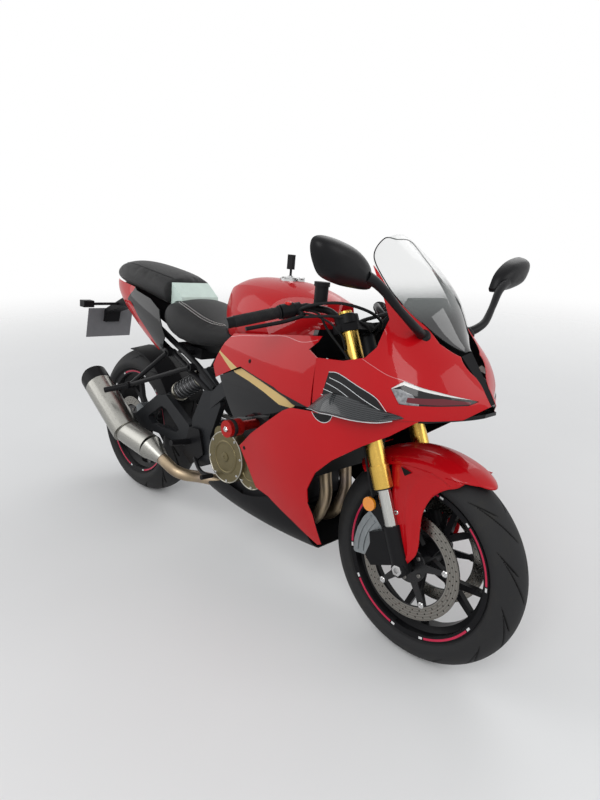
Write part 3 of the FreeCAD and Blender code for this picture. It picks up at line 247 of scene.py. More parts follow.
def lacquer(name, backs=True, areas=()):
    """Red gloss lacquer: a deep base under clear coat, with the faint unevenness of sprayed paint. Areas are painted
    over it as (colour, upper line, lower line) of the side view. With backs, faces that look in towards the bike's
    middle, from 0.50 m behind it to 0.42 m ahead, are the panels' bare black backs."""
    paint = Finish(name, (0.46, 0.003, 0.006), 0.35, coat=GLOSS_COAT, shine=0.08)
    cloud = paint.noise(6.0, 3.0)
    colour = paint.mix(cloud, (0.41, 0.0015, 0.005), (0.50, 0.003, 0.007))
    paint.relief(paint.noise(900.0, 1.0), 0.00002, 0.2)
    x, z = paint.side_view()
    for tint, upper, lower in areas:
        colour = paint.mix(paint.between(x, z, upper, lower), colour, tint)
    if backs:
        middle = placed(BODY_MIDDLE)
        out = paint.node("ShaderNodeVectorMath", {"operation": "SUBTRACT"}, {0: paint.place(), 1: Vector(middle)})
        normal = paint.node("ShaderNodeNewGeometry", output=1)
        facing = paint.node("ShaderNodeVectorMath", {"operation": "DOT_PRODUCT"}, {0: out, 1: normal}, output=1)
        run = paint.part(out, 0)
        inner = (facing < 0.0) * (run > -0.50) * (run < 0.42)
        colour = paint.mix(inner, colour, BLACK_PAINT)
        paint.set("Coat Weight", inner.ramp(0.0, 1.0, GLOSS_COAT, 0.0))
    paint.set("Base Color", colour)
    return paint


def moulded(name, colour, rough, grain=1800.0, depth=0.00006):
    """Moulded plastic or cast coat: fine grain in the surface and a slight unevenness of gloss."""
    made = Finish(name, colour, rough, shine=0.12).worn()
    made.relief(made.noise(grain, 2.0), depth, 0.6)
    return made


def cast(name, colour, rough, metal):
    """Sand-cast metal under a coat: coarser grain and mottled gloss."""
    made = Finish(name, colour, rough, metal=metal, shine=0.2).worn(60.0, 0.10, 0.2)
    made.relief(made.noise(500.0, 4.0, 0.6), 0.00025, 0.7)
    return made


def brushed(name, colour, rough, stretch, metal=1.0):
    """Brushed metal: noise drawn out along the brushing direction in gloss and relief."""
    made = Finish(name, colour, rough, metal=metal, spin=0.5)
    lines = made.noise(60.0, 2.0, 0.5, stretch=stretch)
    made.set("Roughness", rough + (lines - 0.5) * 0.16)
    dark, light = tuple(c * 0.82 for c in colour), tuple(min(1.0, c * 1.12) for c in colour)
    made.set("Base Color", made.mix(lines, dark, light))
    made.relief(lines, 0.00001, 0.3)
    return made


def heat_tinted():
    """Header steel tinted by heat: bands of straw and brown drift along the pipes."""
    made = Finish("header_steel", (0.35, 0.29, 0.22), 0.35, metal=1.0)
    drift = made.noise(9.0, 3.0)
    tint = made.node("ShaderNodeValToRGB", {"stops": [(0.25, (0.20, 0.15, 0.11)), (0.5, (0.42, 0.33, 0.22)),
                                                    (0.75, (0.30, 0.24, 0.22))]}, {0: drift})
    made.set("Base Color", tint)
    made.set("Roughness", 0.3 + made.noise(140.0, 3.0) * 0.25)
    return made


def smoked(name, colour, rough, alpha, low, high, dark):
    """Clear plastic by alpha that darkens and closes up below a height, as the foot of a smoked screen does."""
    made = Finish(name, colour, rough, ior=1.49, coat=1.0)
    made.material.surface_render_method = "BLENDED"
    smoke = made.part(made.place(), 2).ramp(low, high)
    made.set("Alpha", smoke.ramp(0.0, 1.0, 0.93, alpha))
    made.set("Base Color", made.mix(smoke, dark, colour))
    return made


def head_lamp():
    """Headlight behind its slit: a black recess with a white brow along the top, a mottled silver reflector at the
    outer end and a dark red cast towards the nose, each an area of the side view."""
    recess = (0.008, 0.008, 0.009)
    made = Finish("head_lamp", recess, 0.12, coat=0.5, shine=0.15)
    x, z = made.side_view()
    silver = made.mix(made.noise(110.0, 2.0).ramp(0.2, 0.8), (0.14, 0.14, 0.15), (0.36, 0.37, 0.38))
    reflector = [(1380, 797), (1420, 802), (1448, 794), (1466, 776)], [(1380, 790), (1420, 768), (1466, 768)]
    red_cast = [(1440, 786), (1500, 790), (1536, 781)], [(1440, 774), (1500, 774), (1536, 776)]
    brow = [(1380, 860), (1560, 860)], [(1380, 792), (1400, 799), (1424, 813), (1490, 799), (1540, 785)]
    colour = recess
    for tint, area in ((silver, reflector), ((0.13, 0.012, 0.02), red_cast), ((0.80, 0.80, 0.78), brow)):
        colour = made.mix(made.between(x, z, *area), colour, tint)
    made.set("Base Color", colour)
    made.set("Roughness", 0.1 + made.noise(60.0) * 0.05)
    return made


def leather():
    """Seat leather: pebbled grain from crossed cells, worn a little paler in patches that come and go."""
    made = Finish("seat_leather", (0.012, 0.012, 0.013), 0.5, sheen=0.03, shine=0.2)
    place = made.place()
    cells = made.node("ShaderNodeTexVoronoi", {"feature": "DISTANCE_TO_EDGE"}, {"Vector": place, "Scale": 520.0})
    fine = made.noise(1500.0, 2.0)
    height = cells.ramp(0.0, 0.18) * 0.8 + fine * 0.2
    made.relief(height, 0.00022, 0.8)
    rub = made.noise(14.0, 3.0)
    made.set("Base Color", made.mix(rub, (0.009, 0.009, 0.010), (0.020, 0.020, 0.020)))
    made.set("Roughness", 0.42 + height * 0.16)
    return made


def rubber(name, colour=(0.011, 0.011, 0.012), shaded_grooves=False):
    """Tyre and grip rubber: dull, with a dusty cast that comes and goes, and painted shade that darkens a tyre's
    grooves.
    """
    rough = 0.66
    made = Finish(name, colour, rough, shine=0.2)
    dust = made.noise(22.0, 5.0, 0.6)
    tint = made.mix(dust.ramp(0.45, 0.85), colour, (0.030, 0.029, 0.027))
    if shaded_grooves:
        # Painted shade: the rubber's colour is darkened where the grooves are deep
        depth = made.node("ShaderNodeAttribute", {"attribute_name": "groove"}, output=2)
        tint = made.mix(depth.ramp(0.1, 0.7), tint, (0.0015, 0.0015, 0.0015))
    made.set("Base Color", tint)
    made.set("Roughness", rough + (dust - 0.5) * 0.2)
    made.relief(made.noise(900.0, 3.0), 0.0001, 0.5)
    return made


def carbon():
    """Woven carbon under lacquer: two sets of diagonal tows cross in a twill."""
    made = Finish("carbon_weave", (0.02, 0.02, 0.022), 0.22, coat=0.5, shine=0.2)
    place = made.place()
    x, z = made.part(place, 0), made.part(place, 2)
    tow = ((x + z) * 900.0).sine() * ((x - z) * 900.0).sine()
    made.set("Base Color", made.mix(tow.ramp(-0.15, 0.15), (0.004, 0.004, 0.005), (0.050, 0.056, 0.060)))
    made.relief(tow.ramp(-1.0, 1.0), 0.0002, 0.4)
    return made


HOLE_RADIUS = 0.0021


def drilled(name, centre, radii, count, carrier_radius):
    """Disc steel with rings of drilled holes cut out by alpha, spaced by angle and radius about the axle, round a dark
    carrier. The radii are in metres."""
    made = brushed(name, (0.60, 0.60, 0.61), 0.26, (1.0, 1.0, 1.0))
    place, middle = made.place(), placed(centre)
    ahead, left, high = (made.part(place, axis) - float(middle[axis]) for axis in range(3))
    up = left * math.sin(LEAN) + high * math.cos(LEAN)
    spread = (ahead * ahead + up * up).power(0.5)
    turn = up.maths("ARCTAN2", ahead) * (count / (2 * math.pi))
    keeps = []
    for row, radius in enumerate(radii):
        step = (turn + (row * 0.36 + 8.0)).fraction() - 0.5
        across, out = step * (2 * math.pi * radius / count), spread - radius
        keeps.append((across * across + out * out).power(0.5) > HOLE_RADIUS)
    made.set("Alpha", keeps[0] * keeps[1] * keeps[2])
    carrier = spread.ramp(carrier_radius - 0.0004, carrier_radius + 0.0004)
    steel = made.mix((spread * 900.0).sine(), (0.20, 0.19, 0.17), (0.27, 0.26, 0.24))
    made.set("Base Color", made.mix(carrier, (0.012, 0.012, 0.013), steel))
    made.set("Metallic", carrier.ramp(0.0, 1.0, 0.2, 1.0))
    return made


# Painted areas as lines of the side view, in x and z

GOLD_UPPER = [(660, 772), (700, 757), (807, 727), (917, 711), (1020, 693), (1119, 677)]
GOLD_LOWER = [(660, 767), (700, 748), (784, 706), (862, 697), (940, 683), (1020, 663), (1080, 667), (1119, 676)]
BAND_UPPER = [(834, 726), (856, 731), (946, 718), (1040, 702), (1142, 690)]
BAND_LOWER = [(834, 724), (917, 711), (1020, 693), (1119, 677), (1142, 674)]
STRIPES = [(BLACK_PAINT, BAND_UPPER, BAND_LOWER), (GOLD_PAINT, GOLD_UPPER, GOLD_LOWER)]
TAIL_UPPER = [(-8, 836), (37, 878), (40, 1100), (500, 1100)]
TAIL_LOWER = [(-8, 836), (30, 832), (60, 816), (109, 781), (162, 752), (215, 719), (262, 676), (300, 630), (500, 480)]
TAIL_DARK = [(BLACK_PAINT, TAIL_UPPER, TAIL_LOWER)]
COWL_FINS = [(BLACK_PAINT, [(1187, 724), (1203, 802), (1240, 803), (1300, 788), (1364, 772), (1398, 741)],
              [(1187, 722), (1225, 728), (1290, 734), (1350, 735), (1398, 739)])]
TANK_DUCT = [(BLACK_PAINT, [(1050, 700), (1054, 885), (1300, 885)], [(1050, 0), (1300, 0)])]

# Finishes

RED = lacquer("red_lacquer")
RED_COVER = lacquer("red_lacquer_cover", areas=STRIPES)
RED_COWL = lacquer("red_lacquer_cowl", areas=COWL_FINS)
RED_TAIL = lacquer("red_lacquer_tail", areas=TAIL_DARK)
RED_TANK = lacquer("red_lacquer_tank", False, TANK_DUCT)
RED_PLAIN = lacquer("red_lacquer_plain", False)
BLACK_GLOSS = Finish("black_gloss", BLACK_PAINT, 0.18, coat=0.25, shine=0.1).worn(12.0, 0.04, 0.3)
BLACK_SATIN = Finish("black_satin", BLACK_PAINT, 0.36, shine=0.18).worn(30.0, 0.06, 0.3)
INFILL = Finish("black_infill", BLACK_PAINT, 0.16, coat=0.3, shine=0.1).worn(12.0, 0.04, 0.3)
INFILL_X, INFILL_Z = INFILL.side_view()
INFILL_STRIPE = INFILL.between(INFILL_X, INFILL_Z, GOLD_UPPER, GOLD_LOWER)
INFILL.set("Base Color", INFILL.mix(INFILL_STRIPE, BLACK_PAINT, GOLD_PAINT))
MIRROR = Finish("mirror_glass", (0.70, 0.72, 0.74), 0.03, metal=1.0).worn(80.0, 0.02, 0.03)
BLACK_PLASTIC = moulded("black_plastic", (0.009, 0.009, 0.010), 0.48)
BLACK_METAL = moulded("black_metal", (0.009, 0.009, 0.010), 0.34, 900.0, 0.00003)
FRAME_COAT = cast("frame_coat", (0.016, 0.017, 0.019), 0.42, 0.1)
ENGINE_COAT = cast("engine_coat", (0.022, 0.022, 0.024), 0.45, 0.2)
COVER_BRONZE = cast("cover_bronze", (0.15, 0.125, 0.066), 0.36, 0.7)
RADIATOR = moulded("radiator_black", (0.02, 0.02, 0.02), 0.5)
HEADER = heat_tinted()
MUFFLER = brushed("muffler_steel", (0.34, 0.335, 0.31), 0.30, (0.2, 4.0, 4.0))
SHOCK_STEEL = brushed("shock_steel", (0.035, 0.035, 0.037), 0.36, (1.0, 1.0, 1.0), 0.4)
CHAIN_STEEL = cast("chain_steel", (0.22, 0.21, 0.20), 0.38, 0.9)
CALIPER = cast("caliper_grey", (0.26, 0.28, 0.29), 0.36, 0.8)
RED_METAL = Finish("red_anodised", (0.40, 0.012, 0.010), 0.28, metal=0.5, shine=0.3).worn()
BRIGHT = Finish("bright_alloy", (0.55, 0.55, 0.55), 0.20, metal=1.0).worn(60.0, 0.06, 0.08)
LEATHER = leather()
MINT = moulded("mint_plastic", (0.62, 0.74, 0.68), 0.38, 600.0)
LAMP_RED = Finish("lamp_red", (0.42, 0.006, 0.010), 0.15, coat=1.0).worn()
PLATE_GREY = moulded("plate_grey", (0.20, 0.20, 0.21), 0.55)
SCREEN = smoked("screen_clear", (0.30, 0.33, 0.32), 0.03, 0.13, 0.955, 1.075, (0.010, 0.011, 0.012))
LENS = head_lamp()
GOLD = brushed("fork_gold", (0.62, 0.40, 0.09), 0.24, (8.0, 8.0, 0.4))
# Chrome fork tubes: the brushed noise is drawn out along the tubes, and its light and dark streaks of colour are
# painted reflection; its streaks of gloss and relief are surface texture
CHROME_WITH_PAINTED_STREAKS = brushed("fork_chrome", (0.48, 0.48, 0.46), 0.10, (6.0, 6.0, 0.3))
GRIP = rubber("grip_rubber")
TYRE = rubber("tyre_rubber", (0.022, 0.022, 0.023), shaded_grooves=True)
AMBER = Finish("amber_lens", (0.85, 0.28, 0.01), 0.18, coat=1.0).worn(200.0)
RIM_BLACK = moulded("rim_black", (0.008, 0.008, 0.009), 0.30, 1200.0, 0.00003)
COVER_EDGE = brushed("cover_edge", (0.42, 0.40, 0.34), 0.3, (4.0, 4.0, 4.0))
SPRING = Finish("spring_coat", (0.05, 0.052, 0.055), 0.22, metal=0.4, coat=0.5).worn(40.0, 0.06, 0.1)
CARBON = carbon()
FRONT_DISC = drilled("disc_steel_front", FRONT_AXLE, (0.128, 0.137, 0.147), 36, 0.119)
REAR_DISC = drilled("disc_steel_rear", REAR_AXLE, (0.084, 0.094, 0.103), 28, 0.076)
# Pale pink painted highlight for the arrises of the red panels
HIGHLIGHT_PINK = Finish("highlight_pink", (0.62, 0.16, 0.17), 0.25, coat=0.6).worn()
# White painted highlights along edges: the cowl's fins, the round vent's lip and the winglets' tips
EDGE_HIGHLIGHT_WHITE = Finish("edge_highlight_white", (0.62, 0.64, 0.65), 0.35).worn(60.0)
RIM_RED = Finish("rim_stripe_red", (0.50, 0.015, 0.06), 0.35, coat=0.3, shine=0.2).worn()
RIM_WHITE = Finish("rim_stripe_white", (0.66, 0.66, 0.66), 0.35, coat=0.3, shine=0.2).worn()
THREAD = Finish("white_thread", (0.72, 0.71, 0.68), 0.6, sheen=0.3).worn(900.0)

finishes = {
    "frame": FRAME_COAT, "engine_case": ENGINE_COAT, "engine_covers": COVER_BRONZE, "radiator": RADIATOR,
    "exhaust_headers": HEADER, "muffler": MUFFLER, "muffler_cap": BLACK_METAL, "swingarm": FRAME_COAT,
    "rear_shock": SHOCK_STEEL, "drive_chain": CHAIN_STEEL, "rear_caliper": CALIPER, "subframe": BLACK_METAL,
    "pillion_pegs": BLACK_METAL, "rearsets": BLACK_METAL, "crash_bobbins": RED_METAL, "tank": RED_TANK,
    "filler_ring": BRIGHT, "fuel_cap": BRIGHT, "key_fob": BLACK_PLASTIC, "rider_seat": LEATHER,
    "pillion_seat": LEATHER, "seat_band": MINT, "tail_cowl": RED_TAIL, "tail_light": LAMP_RED,
    "plate_holder": BLACK_PLASTIC, "number_plate": PLATE_GREY, "rear_hugger": BLACK_PLASTIC, "upper_cowl": RED_COWL,
    "nose_spine": BLACK_GLOSS, "windscreen": SCREEN, "dash": BLACK_PLASTIC, "headlights": LENS,
    "chin_panel": BLACK_GLOSS, "side_fairings": RED, "tank_covers": RED_COVER, "steering_stem": BLACK_METAL,
    "infill_panels": INFILL, "belly_pan": BLACK_PLASTIC, "winglets": BLACK_GLOSS, "mirrors": BLACK_GLOSS,
    "triple_clamps": BLACK_METAL, "fork_outer_tubes": GOLD, "fork_inner_tubes": CHROME_WITH_PAINTED_STREAKS, "axle_carriers": BLACK_METAL,
    "front_fender": RED_PLAIN, "handlebars": BLACK_METAL, "grips": GRIP, "levers": BLACK_METAL,
    "brake_reservoir": BLACK_PLASTIC, "front_calipers": CALIPER, "reflectors": AMBER, "front_rim": RIM_BLACK,
    "front_tyre": TYRE, "front_discs": FRONT_DISC, "rear_rim": RIM_BLACK, "rear_tyre": TYRE, "rear_disc": REAR_DISC,
    "rear_sprocket": CHAIN_STEEL, "side_stand": BLACK_METAL, "stand_spools": BLACK_METAL,
}


def wear(piece, finish):
    """Give a piece one material."""
    piece.data.materials.clear()
    piece.data.materials.append(finish.material)


for node_name, finish in finishes.items():
    wear(frame["nodes"][node_name], finish)

# Shapes

def quads(rows, columns, wrap_rows=False, wrap_columns=False):
    """Corner numbers of the faces of a grid of points, row after row."""
    index = np.arange(rows * columns).reshape(rows, columns)
    if wrap_rows:
        index = np.vstack([index, index[:1]])
    if wrap_columns:
        index = np.hstack([index, index[:, :1]])
    return np.stack([index[:-1, :-1], index[1:, :-1], index[1:, 1:], index[:-1, 1:]], -1).reshape(-1, 4)


def listed(faces):
    """Faces as plain lists of corner numbers."""
    return faces.tolist() if isinstance(faces, np.ndarray) else [list(face) for face in faces]


def directions(line):
    """Unit direction at each point of a line."""
    run = np.gradient(line, axis=0)
    return run / np.linalg.norm(run, axis=1)[:, None]


def shown(name, data):
    """New object in the scene for a mesh, a lamp or a camera."""
    made = bpy.data.objects.new(name, data)
    bpy.context.scene.collection.objects.link(made)
    return made


def places_of(mesh):
    """Places of a mesh's points, one row each."""
    places = np.empty(len(mesh.vertices) * 3, np.float32)
    mesh.vertices.foreach_get("co", places)
    return places.reshape(-1, 3)


def settled(piece):
    """Plain mesh of an object as its modifiers leave it."""
    return bpy.data.meshes.new_from_object(piece.evaluated_get(bpy.context.evaluated_depsgraph_get()))


def welded(mesh, distance):
    """Merge a mesh's points within a distance in metres and turn its faces outwards."""
    work = bmesh.new()
    work.from_mesh(mesh)
    bmesh.ops.remove_doubles(work, verts=work.verts, dist=distance)
    bmesh.ops.recalc_face_normals(work, faces=work.faces)
    work.to_mesh(mesh)
    work.free()


def thickened(piece, wall, offset=-1.0):
    """Give a sheet its wall in metres, behind its face or, at an offset of 0, half to each side."""
    skin = piece.modifiers.new("skin", "SOLIDIFY")
    skin.thickness = wall
    skin.offset = offset


def build(name, points, faces, finish, body, slot, sharp=35.0, closed=True):
    """Object of a mesh given in bike millimetres: outward normals, sharp edges by angle, and body. The slot is not
    used.
    """
    mesh = bpy.data.meshes.new(name)
    mesh.from_pydata(placed(np.asarray(points, float).reshape(-1, 3)).tolist(), [], listed(faces))
    return finished(name, mesh, finish, body, sharp, closed)


def finished(name, mesh, finish, body, sharp=35.0, closed=True):
    """Object of a mesh that is already in the model's frame."""
    if closed:
        welded(mesh, 1e-6)
    mesh.shade_smooth()
    mesh.set_sharp_from_angle(angle=math.radians(sharp))
    made = shown(name, mesh)
    wear(made, finish)
    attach(made, body)
    return made


def joined(*parts):
    """One list of points and faces from several (points, faces) pairs."""
    points, faces, start = [], [], 0
    for part_points, part_faces in parts:
        points.append(np.asarray(part_points, float).reshape(-1, 3))
        faces += [[corner + start for corner in face] for face in listed(part_faces)]
        start += len(points[-1])
    return np.vstack(points), faces


def mirrored(pair):
    """(points, faces) on the other side of the bike."""
    points, faces = pair
    return np.asarray(points, float).reshape(-1, 3) * RIGHT, [face[::-1] for face in listed(faces)]


def both(pair):
    """(points, faces) on both sides."""
    return joined(pair, mirrored(pair))


def axes_of(direction):
    """A direction at unit length, and two unit vectors square to it."""
    run = np.asarray(direction, float) / np.linalg.norm(direction)
    hint = np.array([0.0, 0.0, 1.0]) if abs(run[2]) < 0.9 else np.array([1.0, 0.0, 0.0])
    first = np.cross(hint, run)
    first /= np.linalg.norm(first)
    return run, first, np.cross(run, first)


def turned(start, direction, profile, steps=32):
    """Surface of revolution: point = start + run * along + (first * cos a + second * sin a) * radius."""
    run, first, second = axes_of(direction)
    along, radius = np.asarray(profile, float).T
    angle = np.linspace(0, 2 * math.pi, steps, endpoint=False)
    spoke = first * np.cos(angle)[:, None] + second * np.sin(angle)[:, None]
    points = np.asarray(start, float) + run * along[None, :, None] + spoke[:, None, :] * radius[None, :, None]
    return points, quads(steps, len(along), wrap_rows=True)


def smooth_path(points, count):
    """Evenly spaced points on the Catmull-Rom curve through the given ones."""
    p = np.asarray(points, float)
    p = np.vstack([2 * p[0] - p[1], p, 2 * p[-1] - p[-2]])
    t = np.linspace(0, len(p) - 3 - 1e-9, count * 6)
    i = t.astype(int)
    f = (t - i)[:, None]
    a, b, c, d = p[i], p[i + 1], p[i + 2], p[i + 3]
    curve = 0.5 * (2 * b + (c - a) * f + (2 * a - 5 * b + 4 * c - d) * f ** 2 + (3 * b - a - 3 * c + d) * f ** 3)
    length = np.concatenate([[0], np.cumsum(np.linalg.norm(np.diff(curve, axis=0), axis=1))])
    even = np.linspace(0, length[-1], count)
    return np.stack([np.interp(even, length, curve[:, k]) for k in range(curve.shape[1])], -1)


def swept(path, radius, sides=12):
    """Closed tube round a path: point = path + (first * cos a + second * sin a) * radius, with first carried on from
    ring to ring square to the path, and the ends drawn to the middle."""
    path = np.asarray(path, float)
    radius = np.broadcast_to(np.asarray(radius, float), len(path))
    run = directions(path)
    carried = [axes_of(run[0])[1]]
    for here in run[1:]:
        side = carried[-1] - here * np.dot(carried[-1], here)
        carried.append(side / np.linalg.norm(side))
    first = np.array(carried)
    second = np.cross(run, first)
    angle = np.linspace(0, 2 * math.pi, sides, endpoint=False)
    ring = first[:, None] * np.cos(angle)[None, :, None] + second[:, None] * np.sin(angle)[None, :, None]
    ends = [np.broadcast_to(path[k], (1, sides, 3)) for k in (0, -1)]
    points = np.concatenate([ends[0], path[:, None] + ring * radius[:, None, None], ends[1]], 0)
    return points, quads(len(points), sides, wrap_columns=True)


def prism(outline, low, high):
    """Plate with an outline in the side view (x, z) from y low to y high."""
    outline = np.asarray(outline, float)
    count = len(outline)
    layers = [np.stack([outline[:, 0], np.full(count, y), outline[:, 1]], -1) for y in (low, high)]
    ring = np.arange(count)
    after = (ring + 1) % count
    walls = np.stack([ring, count + ring, count + after, after], -1)
    return np.vstack(layers), [ring.tolist(), (ring + count)[::-1].tolist(), *walls.tolist()]


def dotted(places, direction, radius, height, sides=10):
    """Screw heads: at each place a low domed button with a socket sunk in its middle."""
    profile = [(0, radius), (height * 0.6, radius), (height, radius * 0.8), (height, radius * 0.45),
               (height * 0.35, radius * 0.42), (height * 0.35, 0.01)]
    points, faces = turned((0, 0, 0), direction, profile, sides)
    button = points.reshape(-1, 3)
    places = np.asarray(places, float)
    starts = np.arange(len(places)) * len(button)
    return (places[:, None] + button).reshape(-1, 3), (faces[None] + starts[:, None, None]).reshape(-1, 4)


BIKE = Matrix.Translation(Vector(SHIFT)) @ Matrix.Rotation(-LEAN, 4, "X")


def laid(name, points, faces, node, axis, finish, body, slot, lift=0.5, thick=0.0):
    """A thin sheet laid on a CAD node or a piece: a mesh in bike millimetres is projected along one of the bike's own
    axes onto it, lifted off it by a fraction of a millimetre, and kept as plain mesh in the model's frame."""
    points = np.asarray(points, float).reshape(-1, 3) / 1000.0
    mesh = bpy.data.meshes.new(name)
    mesh.from_pydata(points.tolist(), [], listed(faces))
    draft = shown(name + "_draft", mesh)
    draft.matrix_world = BIKE
    bpy.context.view_layer.update()
    modifier = draft.modifiers.new("lay", "SHRINKWRAP")
    modifier.wrap_method = "PROJECT"
    modifier.target = frame["nodes"][node] if isinstance(node, str) else node
    modifier.use_project_x, modifier.use_project_y, modifier.use_project_z = axis == 0, axis == 1, axis == 2
    modifier.use_negative_direction = modifier.use_positive_direction = True
    modifier.offset = lift / 1000.0
    modifier.wrap_mode = "ABOVE_SURFACE"
    if thick:
        thickened(draft, thick / 1000.0, 0.0)
    kept = settled(draft)
    take_missed(kept, points[0, axis], axis)
    kept.transform(BIKE)
    bpy.data.objects.remove(draft)
    return finished(name, kept, finish, body, closed=bool(thick))


def take_missed(mesh, start, axis):
    """Take off a laid mesh the faces with a point that met nothing and stayed within 4 mm of its start."""
    hit = np.abs(places_of(mesh)[:, axis] - start) >= 0.004
    corners = np.empty(len(mesh.loops), np.int32)
    mesh.loops.foreach_get("vertex_index", corners)
    starts = np.empty(len(mesh.polygons), np.int32)
    mesh.polygons.foreach_get("loop_start", starts)
    whole = np.minimum.reduceat(hit[corners].astype(np.int8), starts) == 1
    work = bmesh.new()
    work.from_mesh(mesh)
    work.faces.ensure_lookup_table()
    bmesh.ops.delete(work, geom=[work.faces[k] for k in np.flatnonzero(~whole)], context="FACES")
    work.to_mesh(mesh)
    work.free()


def ribbon(path, width, count):
    """Strip of even width along a line of the side view: point = line + square * width * v, v from 1/2 to -1/2."""
    line = smooth_path(path, count)
    run = directions(line)
    square = np.stack([-run[:, 1], run[:, 0]], -1) * width / 2
    flat = np.stack([line + square, line, line - square], 1)
    return np.stack([flat[..., 0], np.zeros((count, 3)), flat[..., 1]], -1), quads(count, 3)


def on_both_sides(name, shape, node, finish, body, slot, lift, thick=0.0):
    """Lay the same sheet, given at y 0, on the right and the left of the bike, coming from well outside it."""
    points, faces = shape
    for side, sign in (("right", -1.0), ("left", 1.0)):
        here = np.asarray(points, float).reshape(-1, 3) + (0, sign * 260.0, 0)
        laid(f"{name}_{side}", here, faces if sign > 0 else faces[:, ::-1], node, 1, finish, body, slot, lift, thick)

# Tyres and wheels

TREAD_STEPS = 940
CROWN_ROWS = 61
WALL_ROWS = 21
GROOVE_DEPTH = 5.0
DISC_FACE = 72.6


def groove(places, across, low, high, lean_of, width, depth):
    """Depth of one family of slanted grooves: full near the line along = lean_of * t + 0.35 * lean_of * t^2, where t
    is the way across from low to high, and the groove narrows to its ends as the root of t * (1 - t)."""
    t = np.clip((across - low) / (high - low), 0, 1)
    line = lean_of * t + 0.35 * lean_of * t ** 2
    half = width * np.sqrt(np.clip(t * (1 - t) * 4 + 0.12, 0, 1)) / 2
    inside = np.clip((half - np.abs(places - line)) / 0.9, 0, 1)
    return depth * inside * ((across > low) & (across < high))


def tyre_surface(name, centre, radius, width, crown, node, body, pitches):
    """Tyre turned about the axle: radius(y) = crown arc, then sidewall; grooves are cut into it as
    r = r0 - depth(angle, arc length), every pitch repeating and the two halves half a pitch apart, and the sidewall
    has fine rings of 0.35 mm * sin(1.9 r)."""
    half = width / 2
    edge = math.asin(0.93 * half / crown)
    arc = np.linspace(-edge, edge, CROWN_ROWS)
    crown_y, crown_r = crown * np.sin(arc), radius - crown + crown * np.cos(arc)
    wall = smooth_path([(half * 0.93, crown_r[-1]), (half * 0.985, crown_r[-1] - 8), (half, 246), (half * 0.9, 232),
                        (half * 0.76, 226), (half * 0.72, 217)], WALL_ROWS + 1)[1:]
    y = np.concatenate([-wall[::-1, 0], crown_y, wall[:, 0]])
    r = np.concatenate([wall[::-1, 1], crown_r, wall[:, 1]])
    a, yy = np.meshgrid(np.linspace(0, 2 * math.pi, TREAD_STEPS, endpoint=False), y, indexing="ij")
    off_crown = np.full(WALL_ROWS, 999.0)
    s = np.abs(np.concatenate([off_crown, crown * arc, off_crown])) + np.zeros_like(a)
    pitch = 2 * math.pi * radius / pitches
    reach = crown * edge
    cut = np.zeros_like(a)
    for sign, offset in ((-1, 0.0), (1, 0.5)):
        along = (a * radius + offset * pitch) % pitch
        for start, low, high, lean_of, wide in ((0.05, 0.06, 0.86, 0.60, 9.0), (0.55, 0.40, 0.97, 0.34, 8.0)):
            for wrap in (-1, 0, 1):
                family = groove(along - (start + wrap) * pitch, s, low * reach, high * reach, lean_of * pitch, wide,
                                GROOVE_DEPTH)
                cut = np.maximum(cut, family * (np.sign(yy) == sign))
    rings = 0.35 * np.concatenate([np.sin(wall[::-1, 1] * 1.9), np.zeros(CROWN_ROWS), np.sin(wall[:, 1] * 1.9)])
    rr = r - cut
    rr = rr + rings * (rr < radius - 30)
    points = np.stack([centre[0] + rr * np.cos(a), centre[1] + yy, centre[2] + rr * np.sin(a)], -1)
    made = build(name, points, quads(TREAD_STEPS, len(y), wrap_rows=True), TYRE, body, "tyre_rubber", 60, False)
    made.data.flip_normals()
    # The groove depth is kept on the points for the painted shade in the grooves
    depth = made.data.attributes.new("groove", "FLOAT", "POINT")
    depth.data.foreach_set("value", (cut / GROOVE_DEPTH).astype(np.float32).ravel())
    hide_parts(node)


tyre_surface("front_tread", FRONT_AXLE, 298.4, 120.0, 62.0, "front_tyre", "front_wheel", 12)
tyre_surface("rear_tread", REAR_AXLE, 311.4, 160.0, 83.0, "rear_tyre", "rear_wheel", 11)


def ring_of(centre, radius, angles, y):
    """Places on a circle about a wheel's axle or a shaft: centre + (radius * cos a, y, radius * sin a)."""
    return centre + np.stack([radius * np.cos(angles), np.full(len(angles), y), radius * np.sin(angles)], -1)


def rim_marks(name, centre, half, body):
    """Stripe arcs stuck on the rim's outer lip, pink-red with white ends, on both sides: rows of points at centre +
    (r * cos a, y, r * sin a)."""
    starts = range(8, 289, 70)
    red_spans = [(start, start + 40) for start in starts]
    white_spans = [(start + low, start + low + 3) for start in starts for low in (-4, 41)]
    rows = ((220.5, half + 0.4), (217.5, half - 0.2), (214.5, half - 0.7))
    for finish, label, spans in ((RIM_RED, "red", red_spans), (RIM_WHITE, "white", white_spans)):
        parts = []
        for low, high in spans:
            angles = np.radians(np.linspace(low, high, 24))
            for sign in (-1, 1):
                strip = np.stack([ring_of(centre, r, angles, sign * y) for r, y in rows], 1)
                parts.append((strip, quads(24, 3) if sign < 0 else quads(24, 3)[:, ::-1]))
        build(f"{name}_{label}", *joined(*parts), finish, body, "rim_black", closed=False)


rim_marks("front_rim_marks", FRONT_AXLE, 50.0, "front_wheel")
rim_marks("rear_rim_marks", REAR_AXLE, 64.0, "rear_wheel")


